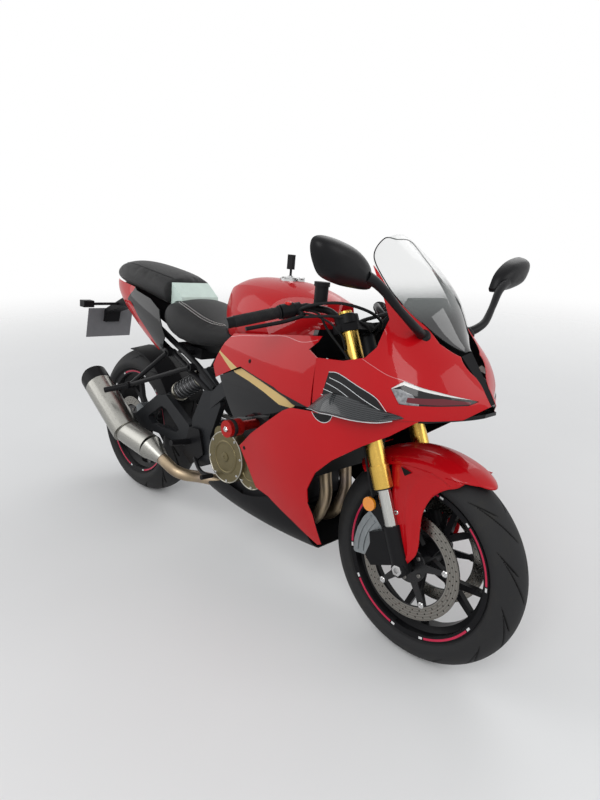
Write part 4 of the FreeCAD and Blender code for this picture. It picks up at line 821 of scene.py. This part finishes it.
def wheel_trim():
    """Bobbins between the discs and their carriers, the carriers' bolts, and the axles' six-sided nuts."""
    fifths = np.radians(72.0 * np.arange(5) + 12)
    for sign, label in ((-1, "right"), (1, "left")):
        places = ring_of(FRONT_AXLE, 113, fifths, sign * DISC_FACE)
        build(f"disc_bobbins_{label}", *dotted(places, (0, sign, 0), 9.0, 3.2, 18), BRIGHT, "front_wheel", "disc_steel")
        places = ring_of(FRONT_AXLE, 41, fifths + 0.6, sign * DISC_FACE)
        build(f"carrier_bolts_{label}", *dotted(places, (0, sign, 0), 6.0, 4.0, 12), CHAIN_STEEL, "front_wheel",
              "disc_steel")
    rear = ring_of(REAR_AXLE, 56, fifths, -84.6)
    build("rear_disc_bolts", *dotted(rear, (0, -1, 0), 6.5, 4.0, 12), CHAIN_STEEL, "rear_wheel", "disc_steel")
    nut = [(0, 17), (0.5, 17), (9, 16), (10, 14), (10, 8.5), (3, 7.5), (3, 0.01)]
    for label, axle, face, body in (("front", FRONT_AXLE, 120.5, "steering"), ("rear", REAR_AXLE, 146.5, "chassis")):
        ends = [turned(axle + (0, sign * face, 0), (0, sign, 0), nut, 6) for sign in (-1, 1)]
        build(f"{label}_axle_nuts", *joined(*ends), BRIGHT, body, "bright_metal", sharp=30)


wheel_trim()

# Seats

CUSHION_SWELL = 0.006
CLOTH_STEPS = 20
ABOVE_SEATS = 1100.0


def cushion(name, node):
    """Padded seat: the CAD cushion shrunk by 3 mm, remeshed, blown up as cloth under pressure by 6 mm at most, eased
    and made finer."""
    mesh = frame["nodes"][node].data.copy()
    welded(mesh, 1e-5)
    draft = shown(name + "_draft", mesh)
    shrink = draft.modifiers.new("shrink", "DISPLACE")
    shrink.strength = -0.003
    shrink.mid_level = 0.0
    remesh = draft.modifiers.new("voxels", "REMESH")
    remesh.mode = "VOXEL"
    remesh.voxel_size = 0.0055
    shape = settled(draft)
    bpy.data.objects.remove(draft)
    made = shown(name, shape)
    blow_up(made)
    ease = made.modifiers.new("ease", "SMOOTH")
    ease.factor = 0.5
    ease.iterations = 6
    finer = made.modifiers.new("finer", "SUBSURF")
    finer.levels = finer.render_levels = 1
    kept = settled(made)
    made.modifiers.clear()
    made.data = kept
    kept.shade_smooth()
    wear(made, LEATHER)
    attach(made, "chassis")
    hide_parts(node)
    return made


def blow_up(made):
    """Run a cushion as cloth under inner pressure and keep each point's move, cut down to CUSHION_SWELL."""
    rest = places_of(made.data)
    cloth = made.modifiers.new("cloth", "CLOTH")
    cloth.settings.use_pressure = True
    cloth.settings.uniform_pressure_force = 4.0
    cloth.settings.effector_weights.gravity = 0.0
    cloth.settings.quality = 4
    cloth.settings.mass = 0.3
    cloth.settings.tension_stiffness = 15.0
    cloth.point_cache.frame_start = 1
    cloth.point_cache.frame_end = CLOTH_STEPS
    for step in range(1, CLOTH_STEPS + 1):
        bpy.context.scene.frame_set(step)
    blown = settled(made)
    made.modifiers.clear()
    moved = places_of(blown) - rest
    size = np.linalg.norm(moved, axis=1, keepdims=True)
    kept = rest + moved * np.minimum(1.0, CUSHION_SWELL / np.maximum(size, 1e-9))
    made.data.vertices.foreach_set("co", kept.ravel())
    bpy.context.scene.frame_set(1)


rider_cushion = cushion("rider_cushion", "rider_seat")
pillion_cushion = cushion("pillion_cushion", "pillion_seat")


def stitches(name, path, cushion_piece, gap, length=7.0, pause=4.0, wide=1.6):
    """Two rows of short raised stitches along a line of the top view, laid on a cushion from above: point = line +
    square * (row + k), with four points along each stitch and three across it."""
    line = smooth_path(path, 400)
    steps = np.concatenate([[0], np.cumsum(np.linalg.norm(np.diff(line, axis=0), axis=1))])
    starts = np.arange(2.0, steps[-1] - length, length + pause)
    at = np.stack([starts, starts + length * 0.33, starts + length * 0.67, starts + length], -1)
    x, y = np.interp(at, steps, line[:, 0]), np.interp(at, steps, line[:, 1])
    run = directions(line)
    sx, sy = -np.interp(at, steps, run[:, 1]), np.interp(at, steps, run[:, 0])
    count = len(starts)
    faces = (quads(4, 3)[None, :, ::-1] + np.arange(count)[:, None, None] * 12).reshape(-1, 4)
    rows = []
    for row in (-gap / 2, gap / 2):
        edges = [np.stack([x + sx * (row + k), y + sy * (row + k), np.full(x.shape, ABOVE_SEATS)], -1)
                 for k in (-wide / 2, 0.0, wide / 2)]
        rows.append((np.stack(edges, 2).reshape(-1, 3), faces))
    laid(name, *joined(*rows), cushion_piece, 2, THREAD, "chassis", "seat_leather", 0.7, 0.8)


def seam(name, path, cushion_piece, wide):
    """Dark piped seam along a line of the top view, laid on a cushion from above."""
    line = smooth_path(path, 160)
    run = directions(line)
    square = np.stack([-run[:, 1], run[:, 0]], -1)
    height = np.full((len(line), 1), ABOVE_SEATS)
    points = np.stack([np.concatenate([line + square * wide * k, height], 1) for k in (-0.5, 0, 0.5)], 1)
    faces = quads(len(line), 3)[:, ::-1]
    laid(name, points, faces, cushion_piece, 2, BLACK_PLASTIC, "chassis", "seat_leather", 0.5, 1.2)


RIDER_LINE = [(600, 52), (540, 74), (470, 92), (400, 100), (345, 96), (315, 70), (306, 0), (315, -70), (345, -96),
              (400, -100), (470, -92), (540, -74), (600, -52)]
stitches("rider_stitching", RIDER_LINE, rider_cushion, 9.0)
seam("rider_seam", RIDER_LINE, rider_cushion, 2.2)
PILLION_LINE = [(246, 66), (180, 78), (60, 80), (-60, 70), (-130, 46), (-150, 0), (-130, -46), (-60, -70), (60, -80),
                (180, -78), (246, -66)]
seam("pillion_seam", PILLION_LINE, pillion_cushion, 3.0)

# Bodywork details

def fender():
    """Front mudguard: point = axle + (r(s) * cos a, y(s), r(s) * sin a), s across from -1 to 1 and a from the beak,
    which is drawn back towards the edges, to the rear; two wings run down in front of the fork legs."""
    half = [(-74, 277), (-70, 292), (-62, 301), (-42, 313.5), (-38, 316), (-18, 319.5)]
    across = smooth_path([*half, (0, 321), *((-y, r) for y, r in half[::-1])], 49)
    s = across[:, 0] / 74.0
    t = np.linspace(0, 1, 64)[:, None]
    angle = np.radians((57.0 + 15.0 * np.abs(s) ** 1.8) * (1 - t) + (136.0 - 5.0 * np.abs(s) ** 2) * t)
    radius = across[:, 1] - 5.0 * np.clip(1 - t * 9, 0, 1) ** 2
    points = np.stack([FRONT_AXLE[0] + radius * np.cos(angle), np.broadcast_to(across[:, 0], angle.shape),
                       FRONT_AXLE[2] + radius * np.sin(angle)], -1)
    crown = build("fender_crown", points, quads(64, 49), RED_PLAIN, "steering", "red_paint", 60, False)
    thickened(crown, 0.0028)
    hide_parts("front_fender")
    # A wing's rows: y, height, and x of its rear and front edges
    rows = [(72, 578, 1340, 1562), (73, 562, 1344, 1546), (77, 548, 1348, 1518), (81, 530, 1355, 1496),
            (86, 510, 1362, 1482), (93, 470, 1374, 1471), (99, 425, 1392, 1474), (103, 385, 1412, 1479),
            (104, 355, 1428, 1476), (104.5, 330, 1439, 1462), (104.5, 314, 1444, 1450)]
    table = smooth_path(rows, 40)
    u = np.linspace(0, 1, 15)
    x = table[:, 2:3] * (1 - u) + table[:, 3:4] * u
    fold = 3.2 * np.clip(1 - np.abs(u - 0.52) / 0.12, 0, 1)
    wing = np.stack([x, table[:, 0:1] + fold + 0 * x, table[:, 1:2] + 0 * x], -1), quads(40, 15)
    for label, sign, shape in (("left", 1.0, wing), ("right", -1.0, mirrored(wing))):
        made = build(f"fender_wing_{label}", *shape, RED_PLAIN, "steering", "red_paint", 50, False)
        thickened(made, 0.0026)
        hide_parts("front_fender")
        screws = [(1394, sign * 97.5, 443), (1408, sign * 101.5, 400)]
        build(f"fender_screws_{label}", *dotted(screws, (0, sign, 0), 7.0, 4.0, 20), BRIGHT, "steering", "bright_metal")
        vent = np.array([(1376, 0, 566), (1412, 0, 560), (1392, 0, 543)]) + (0, sign * 80.5, 0)
        build(f"fender_vent_{label}", vent, [(0, 1, 2) if sign < 0 else (0, 2, 1)], BLACK_PLASTIC, "steering",
              "black_plastic", closed=False)


fender()


def mirrors():
    """Mirror shells: each ring = middle + (rim - middle) * (1 - t^2.6)^(1/2.4), drawn forward by t; a recessed glass
    behind; a waisted arm with an elbow and a round foot on the cowl."""
    rim_line = smooth_path([(284, 1040), (296, 1030), (340, 1033), (392, 1040), (446, 1056), (470, 1082), (482, 1112),
                            (476, 1132), (448, 1138), (404, 1132), (352, 1115), (305, 1082), (284, 1040)], 81)[:-1]
    middle = np.array([392.0, 1092.0])
    t = np.concatenate([[0.0, 0.0], np.linspace(0.0, 1, 26)[1:]])
    swell = np.clip(1 - t ** 2.6, 0, 1) ** (1 / 2.4)
    swell[0], swell[1] = 0.93, 1.0
    depth = 1352.0 + 44.0 * t
    depth[0] = 1350.0
    flat = middle + (rim_line - middle)[None] * swell[:, None, None]
    lower = 1 - 0.16 * t[:, None] * (flat[..., 0] - 284) / 200
    shell = np.stack([np.broadcast_to(depth[:, None], flat.shape[:2]), flat[..., 0],
                      middle[1] + (flat[..., 1] - middle[1]) * lower], -1)
    shell = shell, quads(len(t), 80, wrap_columns=True)
    flat = middle + (rim_line - middle)[None] * np.array([0.93, 0.9, 0.0])[:, None, None]
    depth = np.array([1350.0, 1353.0, 1353.0])
    glass = np.stack([np.broadcast_to(depth[:, None], flat.shape[:2]), flat[..., 0], flat[..., 1]], -1)
    glass = glass, quads(3, 80, wrap_columns=True)
    arm_path = smooth_path([(1404, 112, 925), (1414, 142, 938), (1416, 176, 956), (1404, 226, 994), (1392, 268, 1030),
                            (1386, 300, 1050), (1382, 330, 1062)], 50)
    width = np.interp(np.linspace(0, 1, 50), [0, 0.15, 0.5, 0.8, 1.0], [13, 11.5, 9.5, 11.5, 14])
    arm = swept(arm_path, width, 20)
    foot = turned((1404, 108, 922), (0.25, 0.72, 0.65), [(0, 20), (6, 20), (11, 16), (13, 9), (13.5, 0.01)], 32)
    for label, side in (("left", lambda pair: pair), ("right", mirrored)):
        made = build(f"mirror_{label}", *joined(side(shell), side(arm), side(foot)), BLACK_SATIN, "chassis",
                     "black_gloss", sharp=50)
        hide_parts("mirrors")
        build(f"mirror_glass_{label}", *side(glass), MIRROR, "chassis", "bright_metal", sharp=30)


mirrors()


def stripes():
    """Thin white lines painted as highlights along the edges of the cowl's layered fins, and the half-round vent below
    them with a painted highlight along its edge.
    """
    lines = [
        [(1203, 800), (1236, 803), (1300, 788), (1366, 770), (1402, 740)],
        [(1208, 786), (1262, 778), (1330, 758), (1388, 741)],
        [(1200, 770), (1246, 762), (1290, 748), (1272, 741)],
        [(1192, 752), (1232, 748), (1266, 737)],
        [(1186, 736), (1214, 734), (1238, 727)],
    ]
    for number, line in enumerate(lines):
        on_both_sides(f"fin_line_{number}", ribbon(line, 1.7, 40), "upper_cowl", EDGE_HIGHLIGHT_WHITE, "chassis", "bright_metal",
                      0.7)
    angle = np.linspace(0, math.pi, 24)
    arc = np.stack([1204 + 39 * np.cos(angle), 703 - 6 * np.cos(angle) - 36 * np.sin(angle)], -1)
    chord = np.stack([np.linspace(1243, 1165, 24), np.linspace(705, 691, 24)], -1)
    fill = np.linspace(0, 1, 8)[None, :, None]
    flat = chord[:, None] * (1 - fill) + arc[:, None] * fill
    vent = np.stack([flat[..., 0], np.zeros((24, 8)), flat[..., 1]], -1), quads(24, 8)
    on_both_sides("round_vent", vent, "side_fairings", BLACK_GLOSS, "chassis", "black_gloss", 0.4)
    on_both_sides("vent_line", ribbon(arc, 1.8, 40), "side_fairings", EDGE_HIGHLIGHT_WHITE, "chassis", "bright_metal", 0.7)


stripes()


def painted_edge_highlights():
    """Thin pale lines painted as highlights on the arrises where the gloss panels turn over at their edges."""
    for node, line in (("tank_covers", [(1158, 879), (1080, 856), (996, 858), (900, 842), (800, 826), (740, 812)]),
                       ("upper_cowl", [(1296, 856), (1340, 842), (1384, 829), (1430, 822), (1462, 812)])):
        on_both_sides(f"edge_{node}_0", ribbon(line, 1.4, 60), node, HIGHLIGHT_PINK, "chassis", "red_paint", 0.4)


painted_edge_highlights()

# Small parts

STEER_UP = np.array([-math.sin(RAKE), 0.0, math.cos(RAKE)])
STEER_FRONT = np.array([math.cos(RAKE), 0.0, math.sin(RAKE)])
FORK_HALF = 106.0
BAR_OUTER = np.array([972.0, 355.0, 900.0])
BAR_INNER = np.array([1019.0, 235.0, 930.0])
BAR_RUN = (BAR_OUTER - BAR_INNER) / np.linalg.norm(BAR_OUTER - BAR_INNER)


def on_fork(along, y, ahead=0.0):
    """Point beside a fork leg's line, measured up from the axle."""
    return FRONT_AXLE + STEER_UP * along + STEER_FRONT * ahead + (0.0, y, 0.0)


def controls():
    """Ribbed grips, a red stop switch, hoses and cables of the handlebars, and the fork legs' caps and collars."""
    length = np.linalg.norm(BAR_OUTER - BAR_INNER)
    s = np.linspace(3, length - 5, 160)
    ribs = 15.9 + 0.6 * np.cos(2 * math.pi * s / 4.2) * ((s > 14) & (s < length - 16))
    profile = [(0, 11.2), (0, 19), (2, 19.6), (3, 19), *zip(s, ribs), (length - 3, 16.5), (length - 0.4, 15),
               (length - 0.4, 11.2)]
    left = turned(BAR_INNER, BAR_RUN, profile, 40)
    grips = build("grips_ribbed", *both(left), GRIP, "steering", "grip_rubber", sharp=50)
    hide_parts("grips")
    switch = BAR_INNER - BAR_RUN * 23
    knob = turned(switch * RIGHT, (0.15, 0.0, 1.0), [(15, 10.5), (23, 10.5), (26, 9.0), (27, 6), (26, 0.01)], 24)
    build("stop_switch", *knob, RED_METAL, "steering", "red_metal", sharp=40)
    buttons = [BAR_INNER - BAR_RUN * back + offset
               for back, offset in ((14, (-18.0, 0.0, 8.0)), (34, (-19.0, 0.0, 4.0)), (24, (-21.0, 0.0, -4.0)))]
    build("switch_buttons", *dotted(buttons, (-0.9, 0, 0.4), 5.0, 3.0, 16), MINT, "steering", "mint_plastic")
    hoses = [
        [(1096, -148, 985), (1086, -168, 962), (1062, -182, 946), (1044, -184, 940)],
        [(1048, -172, 940), (1096, -160, 936), (1122, -142, 892), on_fork(560, -134, 6), on_fork(470, -142, 0),
         on_fork(400, -132, -6), on_fork(300, -122, -26), on_fork(215, -112, -40), on_fork(176, -100, -52)],
        [(1034, -196, 930), (1090, -186, 934), (1138, -162, 920), (1170, -140, 886), (1184, -134, 850)],
        [(1036, 190, 930), (1092, 180, 934), (1140, 158, 920), (1170, 138, 886), (1184, 132, 850)],
        [(1046, 178, 942), (1100, 160, 944), (1146, 130, 930), (1168, 96, 904)],
        [(1030, -196, 928), (1088, -186, 958), (1152, -138, 972), (1196, -64, 954), (1194, 0, 920), (1158, 20, 880)],
        [(1026, -200, 916), (1082, -194, 926), (1146, -156, 936), (1184, -90, 926), (1176, -30, 898), (1146, 0, 868)],
        [(1030, 196, 928), (1086, 184, 954), (1146, 134, 966), (1182, 60, 948), (1180, 0, 910), (1150, -24, 874)],
        [(1036, 176, 926), (1104, 150, 946), (1164, 88, 956), (1188, 10, 944), (1166, -62, 922), (1136, -82, 884)],
    ]
    radii = (3.6, 3.4, 3.0, 3.0, 2.6, 4.4, 4.0, 4.2, 5.5)
    for number, (hose, radius) in enumerate(zip(hoses, radii)):
        tube = swept(smooth_path(hose, 60), radius, 10)
        build(f"bar_hose_{number}", *tube, GRIP, "steering", "grip_rubber", sharp=60)
    cap = [(0, 24.4), (3, 24.2), (5, 22), (5, 13), (9, 12.4), (9, 6), (5, 5.5), (5, 0.01)]
    collar = [(-1.5, 19.5), (-1.5, 26.2), (0.5, 27.4), (24, 27.6), (26, 26.4), (60, 26.0), (61, 25.2)]
    seal = [(0, 19.3), (0, 24.5), (5, 25), (5, 19.3)]
    for label, y in (("right", -FORK_HALF), ("left", FORK_HALF)):
        build(f"fork_cap_{label}", *turned(on_fork(700, y), STEER_UP, cap, 32), BLACK_METAL, "steering", "black_metal",
              sharp=30)
        build(f"fork_collar_{label}", *turned(on_fork(221.3, y), STEER_UP, collar, 48), GOLD, "steering", "fork_gold",
              closed=False, sharp=40)
        build(f"fork_seal_{label}", *turned(on_fork(216.0, y), STEER_UP, seal, 40), GRIP, "steering", "grip_rubber",
              sharp=30)


controls()


def screen_bed():
    """Black tray under the screen: rows run along the screen's edge, from a skirt inside the cowl up to the edge,
    then across to the other side with a sag of 40 mm * sin(pi * t)."""
    right = smooth_path([(1347, -129, 992), (1383, -113, 966), (1413, -88, 940), (1440, -58, 912), (1462, -34, 893),
                         (1482, 0, 880)], 40)
    away = np.stack([np.zeros(40), -np.minimum(1, np.abs(right[:, 1]) / 40), np.zeros(40)], -1)
    skirt = [right + away * 8 + (4, 0, -62), right + away * 14 + (4, 0, -24), right + away * 4 + (-1, 0, -12)]
    t = np.linspace(0.08, 0.92, 9)
    across = [right * (1 - k) + right * RIGHT * k + (-6, 0, -16 - 40 * math.sin(math.pi * k)) for k in t]
    rows = skirt + across + [row * RIGHT for row in skirt[::-1]]
    build("screen_bed", np.stack(rows, 1), quads(40, len(rows)), BLACK_PLASTIC, "chassis", "black_plastic", 70, False)
    rim = smooth_path([(1347, 129.5, 994), (1302, 138, 1035), (1234, 121, 1102), (1214, 61, 1150), (1211, 0, 1152),
                       (1214, -61, 1150), (1234, -121, 1102), (1302, -138, 1035), (1347, -129.5, 994)], 120)
    build("screen_rim", *swept(rim, 1.6, 8), BLACK_PLASTIC, "chassis", "black_plastic", sharp=70)


screen_bed()


def infill_backing():
    """Black plate behind the seam of the side cover and the infill."""
    outline = [(690, 694), (700, 714), (716, 726), (760, 738), (850, 745), (852, 690), (745, 668), (714, 676)]
    build("infill_backing", *both(prism(outline, 166, 169)), BLACK_PLASTIC, "chassis", "black_plastic", sharp=40)


infill_backing()


def winglets():
    """Carbon winglets: root and tip lines along the bike, the blade between them bowed up by 6 mm * sin(pi * t)."""
    # Rows: x, then y and z of the root, then y and z of the tip
    rows = [(1136, 210, 688, 214, 684), (1160, 214, 702, 224, 690), (1189, 217, 728, 238, 694),
            (1219, 219, 744, 250, 698), (1254, 219, 749, 256, 704), (1304, 216, 750, 258, 708),
            (1348, 211, 746, 252, 711), (1400, 201, 741, 232, 719), (1430, 194, 737, 210, 730),
            (1442, 190, 735, 196, 733)]
    table = smooth_path(rows, 60)
    t = np.linspace(0, 1, 16)
    bow = 6.0 * np.sin(math.pi * t) * np.minimum(1, (table[:, 3:4] - table[:, 1:2]) / 30)
    top = np.stack([np.repeat(table[:, 0:1], 16, 1), table[:, 1:2] * (1 - t) + table[:, 3:4] * t,
                    table[:, 2:3] * (1 - t) + table[:, 4:5] * t + bow], -1)
    edge = smooth_path(table[::6, [0, 3, 4]], 60)
    for label, sign in (("left", 1.0), ("right", -1.0)):
        side = (1, sign, 1)
        faces = quads(60, 16) if sign < 0 else quads(60, 16)[:, ::-1]
        made = build(f"winglet_{label}", top * side, faces, CARBON, "chassis", "black_gloss", 60, False)
        thickened(made, 0.004)
        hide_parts("winglets")
        # White tube along the winglet's tip edge: a painted highlight
        rim = swept(edge * side + (0, 0, -1.5), 1.3, 8)
        build(f"winglet_edge_highlight_{label}", *rim, EDGE_HIGHLIGHT_WHITE, "chassis", "bright_metal", sharp=60)


winglets()


def engine_details():
    """Bright rims, raised rings, bolts and bosses on the engine's covers, all turned about the covers' middles."""
    boss = [(0, 17), (2.5, 16), (3.5, 13), (3.5, 6), (1.5, 5), (1.5, 0.01)]
    eighths = np.radians(np.arange(8) * 45 + 11)
    for x, z, radius, y in ((745, 405, 88, -170), (860, 400, 70, -158), (890, 398, 68, 160), (700, 385, 60, 150)):
        middle, out = np.array([x, y, z]), (0, math.copysign(1.0, y), 0)
        label = f"{x}_{'right' if y < 0 else 'left'}"
        rim = [(-2.0, radius + 0.1), (-0.6, radius + 0.9), (0.9, radius + 0.3), (1.4, radius - 2.2),
               (0.3, radius - 3.4)]
        web = [(0.2, radius * 0.66), (2.2, radius * 0.645), (2.6, radius * 0.6), (2.2, radius * 0.57),
               (0.2, radius * 0.55)]
        bolts = dotted(ring_of(middle, radius - 8, eighths, 0), out, 4.5, 3.6, 12)
        build(f"cover_rim_{label}", *turned(middle, out, rim, 72), COVER_EDGE, "chassis", "cover_metal", 50, False)
        build(f"cover_web_{label}", *turned(middle, out, web, 72), COVER_BRONZE, "chassis", "cover_metal", 60, False)
        build(f"cover_bolts_{label}", *bolts, BRIGHT, "chassis", "cover_metal")
        build(f"cover_boss_{label}", *turned(middle, out, boss, 32), COVER_BRONZE, "chassis", "cover_metal", 40)


engine_details()


def fasteners():
    """A black screw on each side cover and each fairing, and the ring of screws round the filler."""
    c, s = math.cos(LEAN), math.sin(LEAN)
    profile = [(0.0, 6.4), (1.0, 6.2), (1.6, 5.2), (1.6, 3.0), (0.4, 2.6), (0.4, 0.01)]
    for label, sign in (("right", -1.0), ("left", 1.0)):
        for node, x, z in (("tank_covers", 872, 761), ("side_fairings", 880, 487)):
            start = Vector(placed((x, sign * 300, z)))
            way = Vector(placed((x, 0, z))) - start
            spot, normal = frame["nodes"][node].ray_cast(start, way.normalized())[1:3]
            seat = np.array([np.array(spot) - SHIFT, np.array(normal)])
            upright = np.stack([seat[:, 0], seat[:, 1] * c - seat[:, 2] * s, seat[:, 1] * s + seat[:, 2] * c], -1)
            head = turned(upright[0] * 1000, upright[1], profile, 20)
            build(f"screw_{node}_{label}_0", *head, BLACK_METAL, "chassis", "black_metal", sharp=40)
    angle = np.radians(np.arange(6) * 60 + 20)
    ring = np.stack([820 + 35.5 * np.cos(angle), 35.5 * np.sin(angle), np.full(6, 1007.0)], -1)
    build("filler_screws", *dotted(ring, (0, 0, 1), 2.9, 2.0, 12), CHAIN_STEEL, "chassis", "bright_metal")


fasteners()


def spring():
    """Shock's coil as a helix of seven turns round the damper, between two collars."""
    low, high = np.array([312.0, -76.0, 512.0]), np.array([528.0, -76.0, 643.0])
    length = np.linalg.norm(high - low)
    run, first, second = axes_of(high - low)
    t = np.linspace(0, 1, 400)[:, None]
    angle = 2 * math.pi * 7 * t
    coil = low + run * (30 + (length - 104) * t) + (first * np.cos(angle) + second * np.sin(angle)) * 30.5
    build("shock_coil", *swept(coil, 4.6, 8), SPRING, "chassis", "shock_steel", sharp=70)
    for label, along in (("low", 20.0), ("high", length - 70.0)):
        collar = turned(low + run * along, run, [(0, 24), (0, 36), (2, 37), (10, 37), (12, 36), (12, 24)], 40)
        build(f"shock_collar_{label}", *collar, COVER_EDGE, "chassis", "shock_steel", closed=False, sharp=40)


spring()


def bobbins():
    """Rubber ring and bright hexagon bolt at the outer end of each crash bobbin."""
    ring = turned((842, 226, 545), (0, 1, 0), [(0, 26), (0, 28.2), (2, 29), (11, 29), (13, 28.2), (13, 26)], 48)
    build("bobbin_rings", *both(ring), GRIP, "chassis", "grip_rubber", closed=False, sharp=40)
    bolt = turned((842, 251.5, 545), (0, 1, 0), [(0, 9.5), (4, 9.5), (5, 8.5), (5, 5), (2, 4.5), (2, 0.01)], 6)
    build("bobbin_bolts", *both(bolt), BRIGHT, "chassis", "red_metal", sharp=30)


bobbins()


def caliper_ribs():
    """Raised ribs on the front calipers' outer faces, along arcs about the axle."""
    angle = np.radians(np.linspace(142, 186, 30))
    for number, radius in enumerate((124.0, 143.0, 162.0)):
        arc = ring_of(FRONT_AXLE, radius, angle, 0)[:, [0, 2]]
        on_both_sides(f"caliper_rib_{number}", ribbon(arc, 6.0, 40), "front_calipers", CALIPER, "steering",
                      "caliper_metal", 1.4, 2.8)


caliper_ribs()


LINK_PITCH = 15.9


def chain_links():
    """Roller chain's side plates along the loop's two straight runs and round the sprockets: pairs of short plates,
    one for each link pitch, stood off the plain loop's faces. Each plate = middle + along * u + square * v."""
    front, rear = np.array([640.0, 395.0]), np.array([0.0, 312.0])
    front_radius, rear_radius = 36.0, 88.0
    run = rear - front
    base = math.atan2(run[1], run[0])
    touch = math.pi - math.acos((rear_radius - front_radius) / np.linalg.norm(run))
    bends = []
    for centre, radius, start, stop in ((rear, rear_radius, base - touch, base + touch),
                                        (front, front_radius, base + touch, base + 2 * math.pi - touch)):
        angle = np.linspace(start, stop, 60)
        bends.append(centre + np.stack([np.cos(angle), np.sin(angle)], -1) * radius)
    loop = np.vstack([*bends, bends[0][:1]])
    steps = np.concatenate([[0], np.cumsum(np.linalg.norm(np.diff(loop, axis=0), axis=1))])
    count = int(steps[-1] / LINK_PITCH)
    at = np.arange(count) * steps[-1] / count
    place, ahead = (np.stack([np.interp(where, steps, loop[:, k]) for k in range(2)], -1)
                    for where in (at, (at + LINK_PITCH) % steps[-1]))
    middle = (place + ahead) / 2
    along = (ahead - place) / np.linalg.norm(ahead - place, axis=1)[:, None]
    square = np.stack([-along[:, 1], along[:, 0]], -1)
    outline = np.array([(-11.5, 0), (-10, 4.2), (-7, 5.6), (0, 4.0), (7, 5.6), (10, 4.2), (11.5, 0), (10, -4.2),
                        (7, -5.6), (0, -4.0), (-7, -5.6), (-10, -4.2)])
    flat = middle[:, None] + outline[None, :, :1] * along[:, None] + outline[None, :, 1:] * square[:, None]
    ring, corner = np.arange(12), np.arange(count)[:, None] * 24
    after = (ring + 1) % 12
    walls = np.stack([ring, after, after + 12, ring + 12], -1) + corner[:, None]
    faces = walls.reshape(-1, 4).tolist() + (corner + 12 + ring).tolist()
    plates = []
    for y, thick in ((99.2, 1.5), (84.8, -1.5)):
        stand = np.where(np.arange(count) % 2 == 0, 0.0, thick * 0.8)
        across = np.broadcast_to((y + stand)[:, None, None], (count, 12, 1))
        near = np.concatenate([flat[..., :1], across, flat[..., 1:]], -1)
        plates.append((np.concatenate([near, near + (0, thick, 0)], 1), faces))
    build("chain_plates", *joined(*plates), CHAIN_STEEL, "chassis", "chain_steel", closed=False, sharp=40)


chain_links()

# Stage: camera, floor and lamps

camera_data = bpy.data.cameras.new("camera")
camera = shown("camera", camera_data)
camera_data.sensor_width = 36.0
camera_data.lens = 26.92
camera_data.clip_start = 0.05
camera_data.clip_end = 60.0
yaw, pitch, roll = math.radians(135.21), math.radians(19.58), math.radians(0.2)
aim = Vector((math.cos(yaw) * math.cos(pitch), math.sin(yaw) * math.cos(pitch), -math.sin(pitch)))
camera.rotation_mode = "QUATERNION"
camera.location = Vector((2.216, -1.227, 1.276)) + Vector(SHIFT)
camera.rotation_quaternion = aim.to_track_quat("-Z", "Y") @ Matrix.Rotation(roll, 3, "Z").to_quaternion()
bpy.context.scene.camera = camera


def floor():
    """A pale disc on the ground that fades out to the white background: point = (r * cos a, r * sin a, 0)."""
    angle = np.linspace(0, 2 * math.pi, 96, endpoint=False)
    rings = np.array([0.001, 2.0, 4.0, 6.0, 8.0])
    points = np.stack([rings[:, None] * np.cos(angle), rings[:, None] * np.sin(angle), np.zeros((5, 96))], -1)
    mesh = bpy.data.meshes.new("floor")
    mesh.from_pydata(points.reshape(-1, 3).tolist(), [], quads(5, 96, wrap_columns=True).tolist())
    made = shown("floor", mesh)
    pale = Finish("floor_pale", (0.80, 0.80, 0.80), 0.9)
    pale.set("Base Color", pale.mix(pale.noise(2.0), (0.79, 0.79, 0.79), (0.82, 0.82, 0.82)))
    place = pale.place()
    x, y = pale.part(place, 0), pale.part(place, 1)
    pale.set("Alpha", (x * x + y * y).power(0.5).ramp(1.9, 6.5, 1.0, 0.0))
    wear(made, pale)


def lamp(name, place, size, watts):
    """Square soft lamp aimed at the middle of the bike."""
    data = bpy.data.lights.new(name, "AREA")
    data.size = size
    data.energy = watts
    made = shown(name, data)
    made.location = place
    made.rotation_mode = "QUATERNION"
    made.rotation_quaternion = (Vector((0.0, 0.0, 0.5)) - made.location).to_track_quat("-Z", "Y")


def studio():
    """World: plain white where the camera, a reflection or glass looks at it, and a softer level as light."""
    world = bpy.data.worlds.new("studio")
    bpy.context.scene.world = world
    world.use_nodes = True
    tree = world.node_tree
    tree.nodes.clear()
    rays = tree.nodes.new("ShaderNodeLightPath").outputs
    seen = rays["Is Camera Ray"]
    for ray in ("Is Glossy Ray", "Is Transmission Ray"):
        either = tree.nodes.new("ShaderNodeMath")
        either.operation = "MAXIMUM"
        tree.links.new(seen, either.inputs[0])
        tree.links.new(rays[ray], either.inputs[1])
        seen = either.outputs[0]
    light, backdrop = tree.nodes.new("ShaderNodeBackground"), tree.nodes.new("ShaderNodeBackground")
    light.inputs["Color"].default_value = (0.96, 0.98, 1.0, 1.0)
    light.inputs["Strength"].default_value = 0.50
    backdrop.inputs["Color"].default_value = (1.0, 1.0, 1.0, 1.0)
    backdrop.inputs["Strength"].default_value = 1.0
    mix = tree.nodes.new("ShaderNodeMixShader")
    tree.links.new(seen, mix.inputs[0])
    tree.links.new(light.outputs[0], mix.inputs[1])
    tree.links.new(backdrop.outputs[0], mix.inputs[2])
    output = tree.nodes.new("ShaderNodeOutputWorld")
    tree.links.new(mix.outputs[0], output.inputs["Surface"])


floor()
lamp("key", (2.2, -3.4, 3.6), 2.6, 95.0)
lamp("fill", (-3.6, -2.4, 2.6), 3.0, 45.0)
lamp("front", (4.2, 1.6, 2.4), 2.4, 35.0)
lamp("back", (-1.0, 4.0, 3.4), 3.0, 45.0)
studio()
bpy.context.scene.view_settings.view_transform = "Standard"
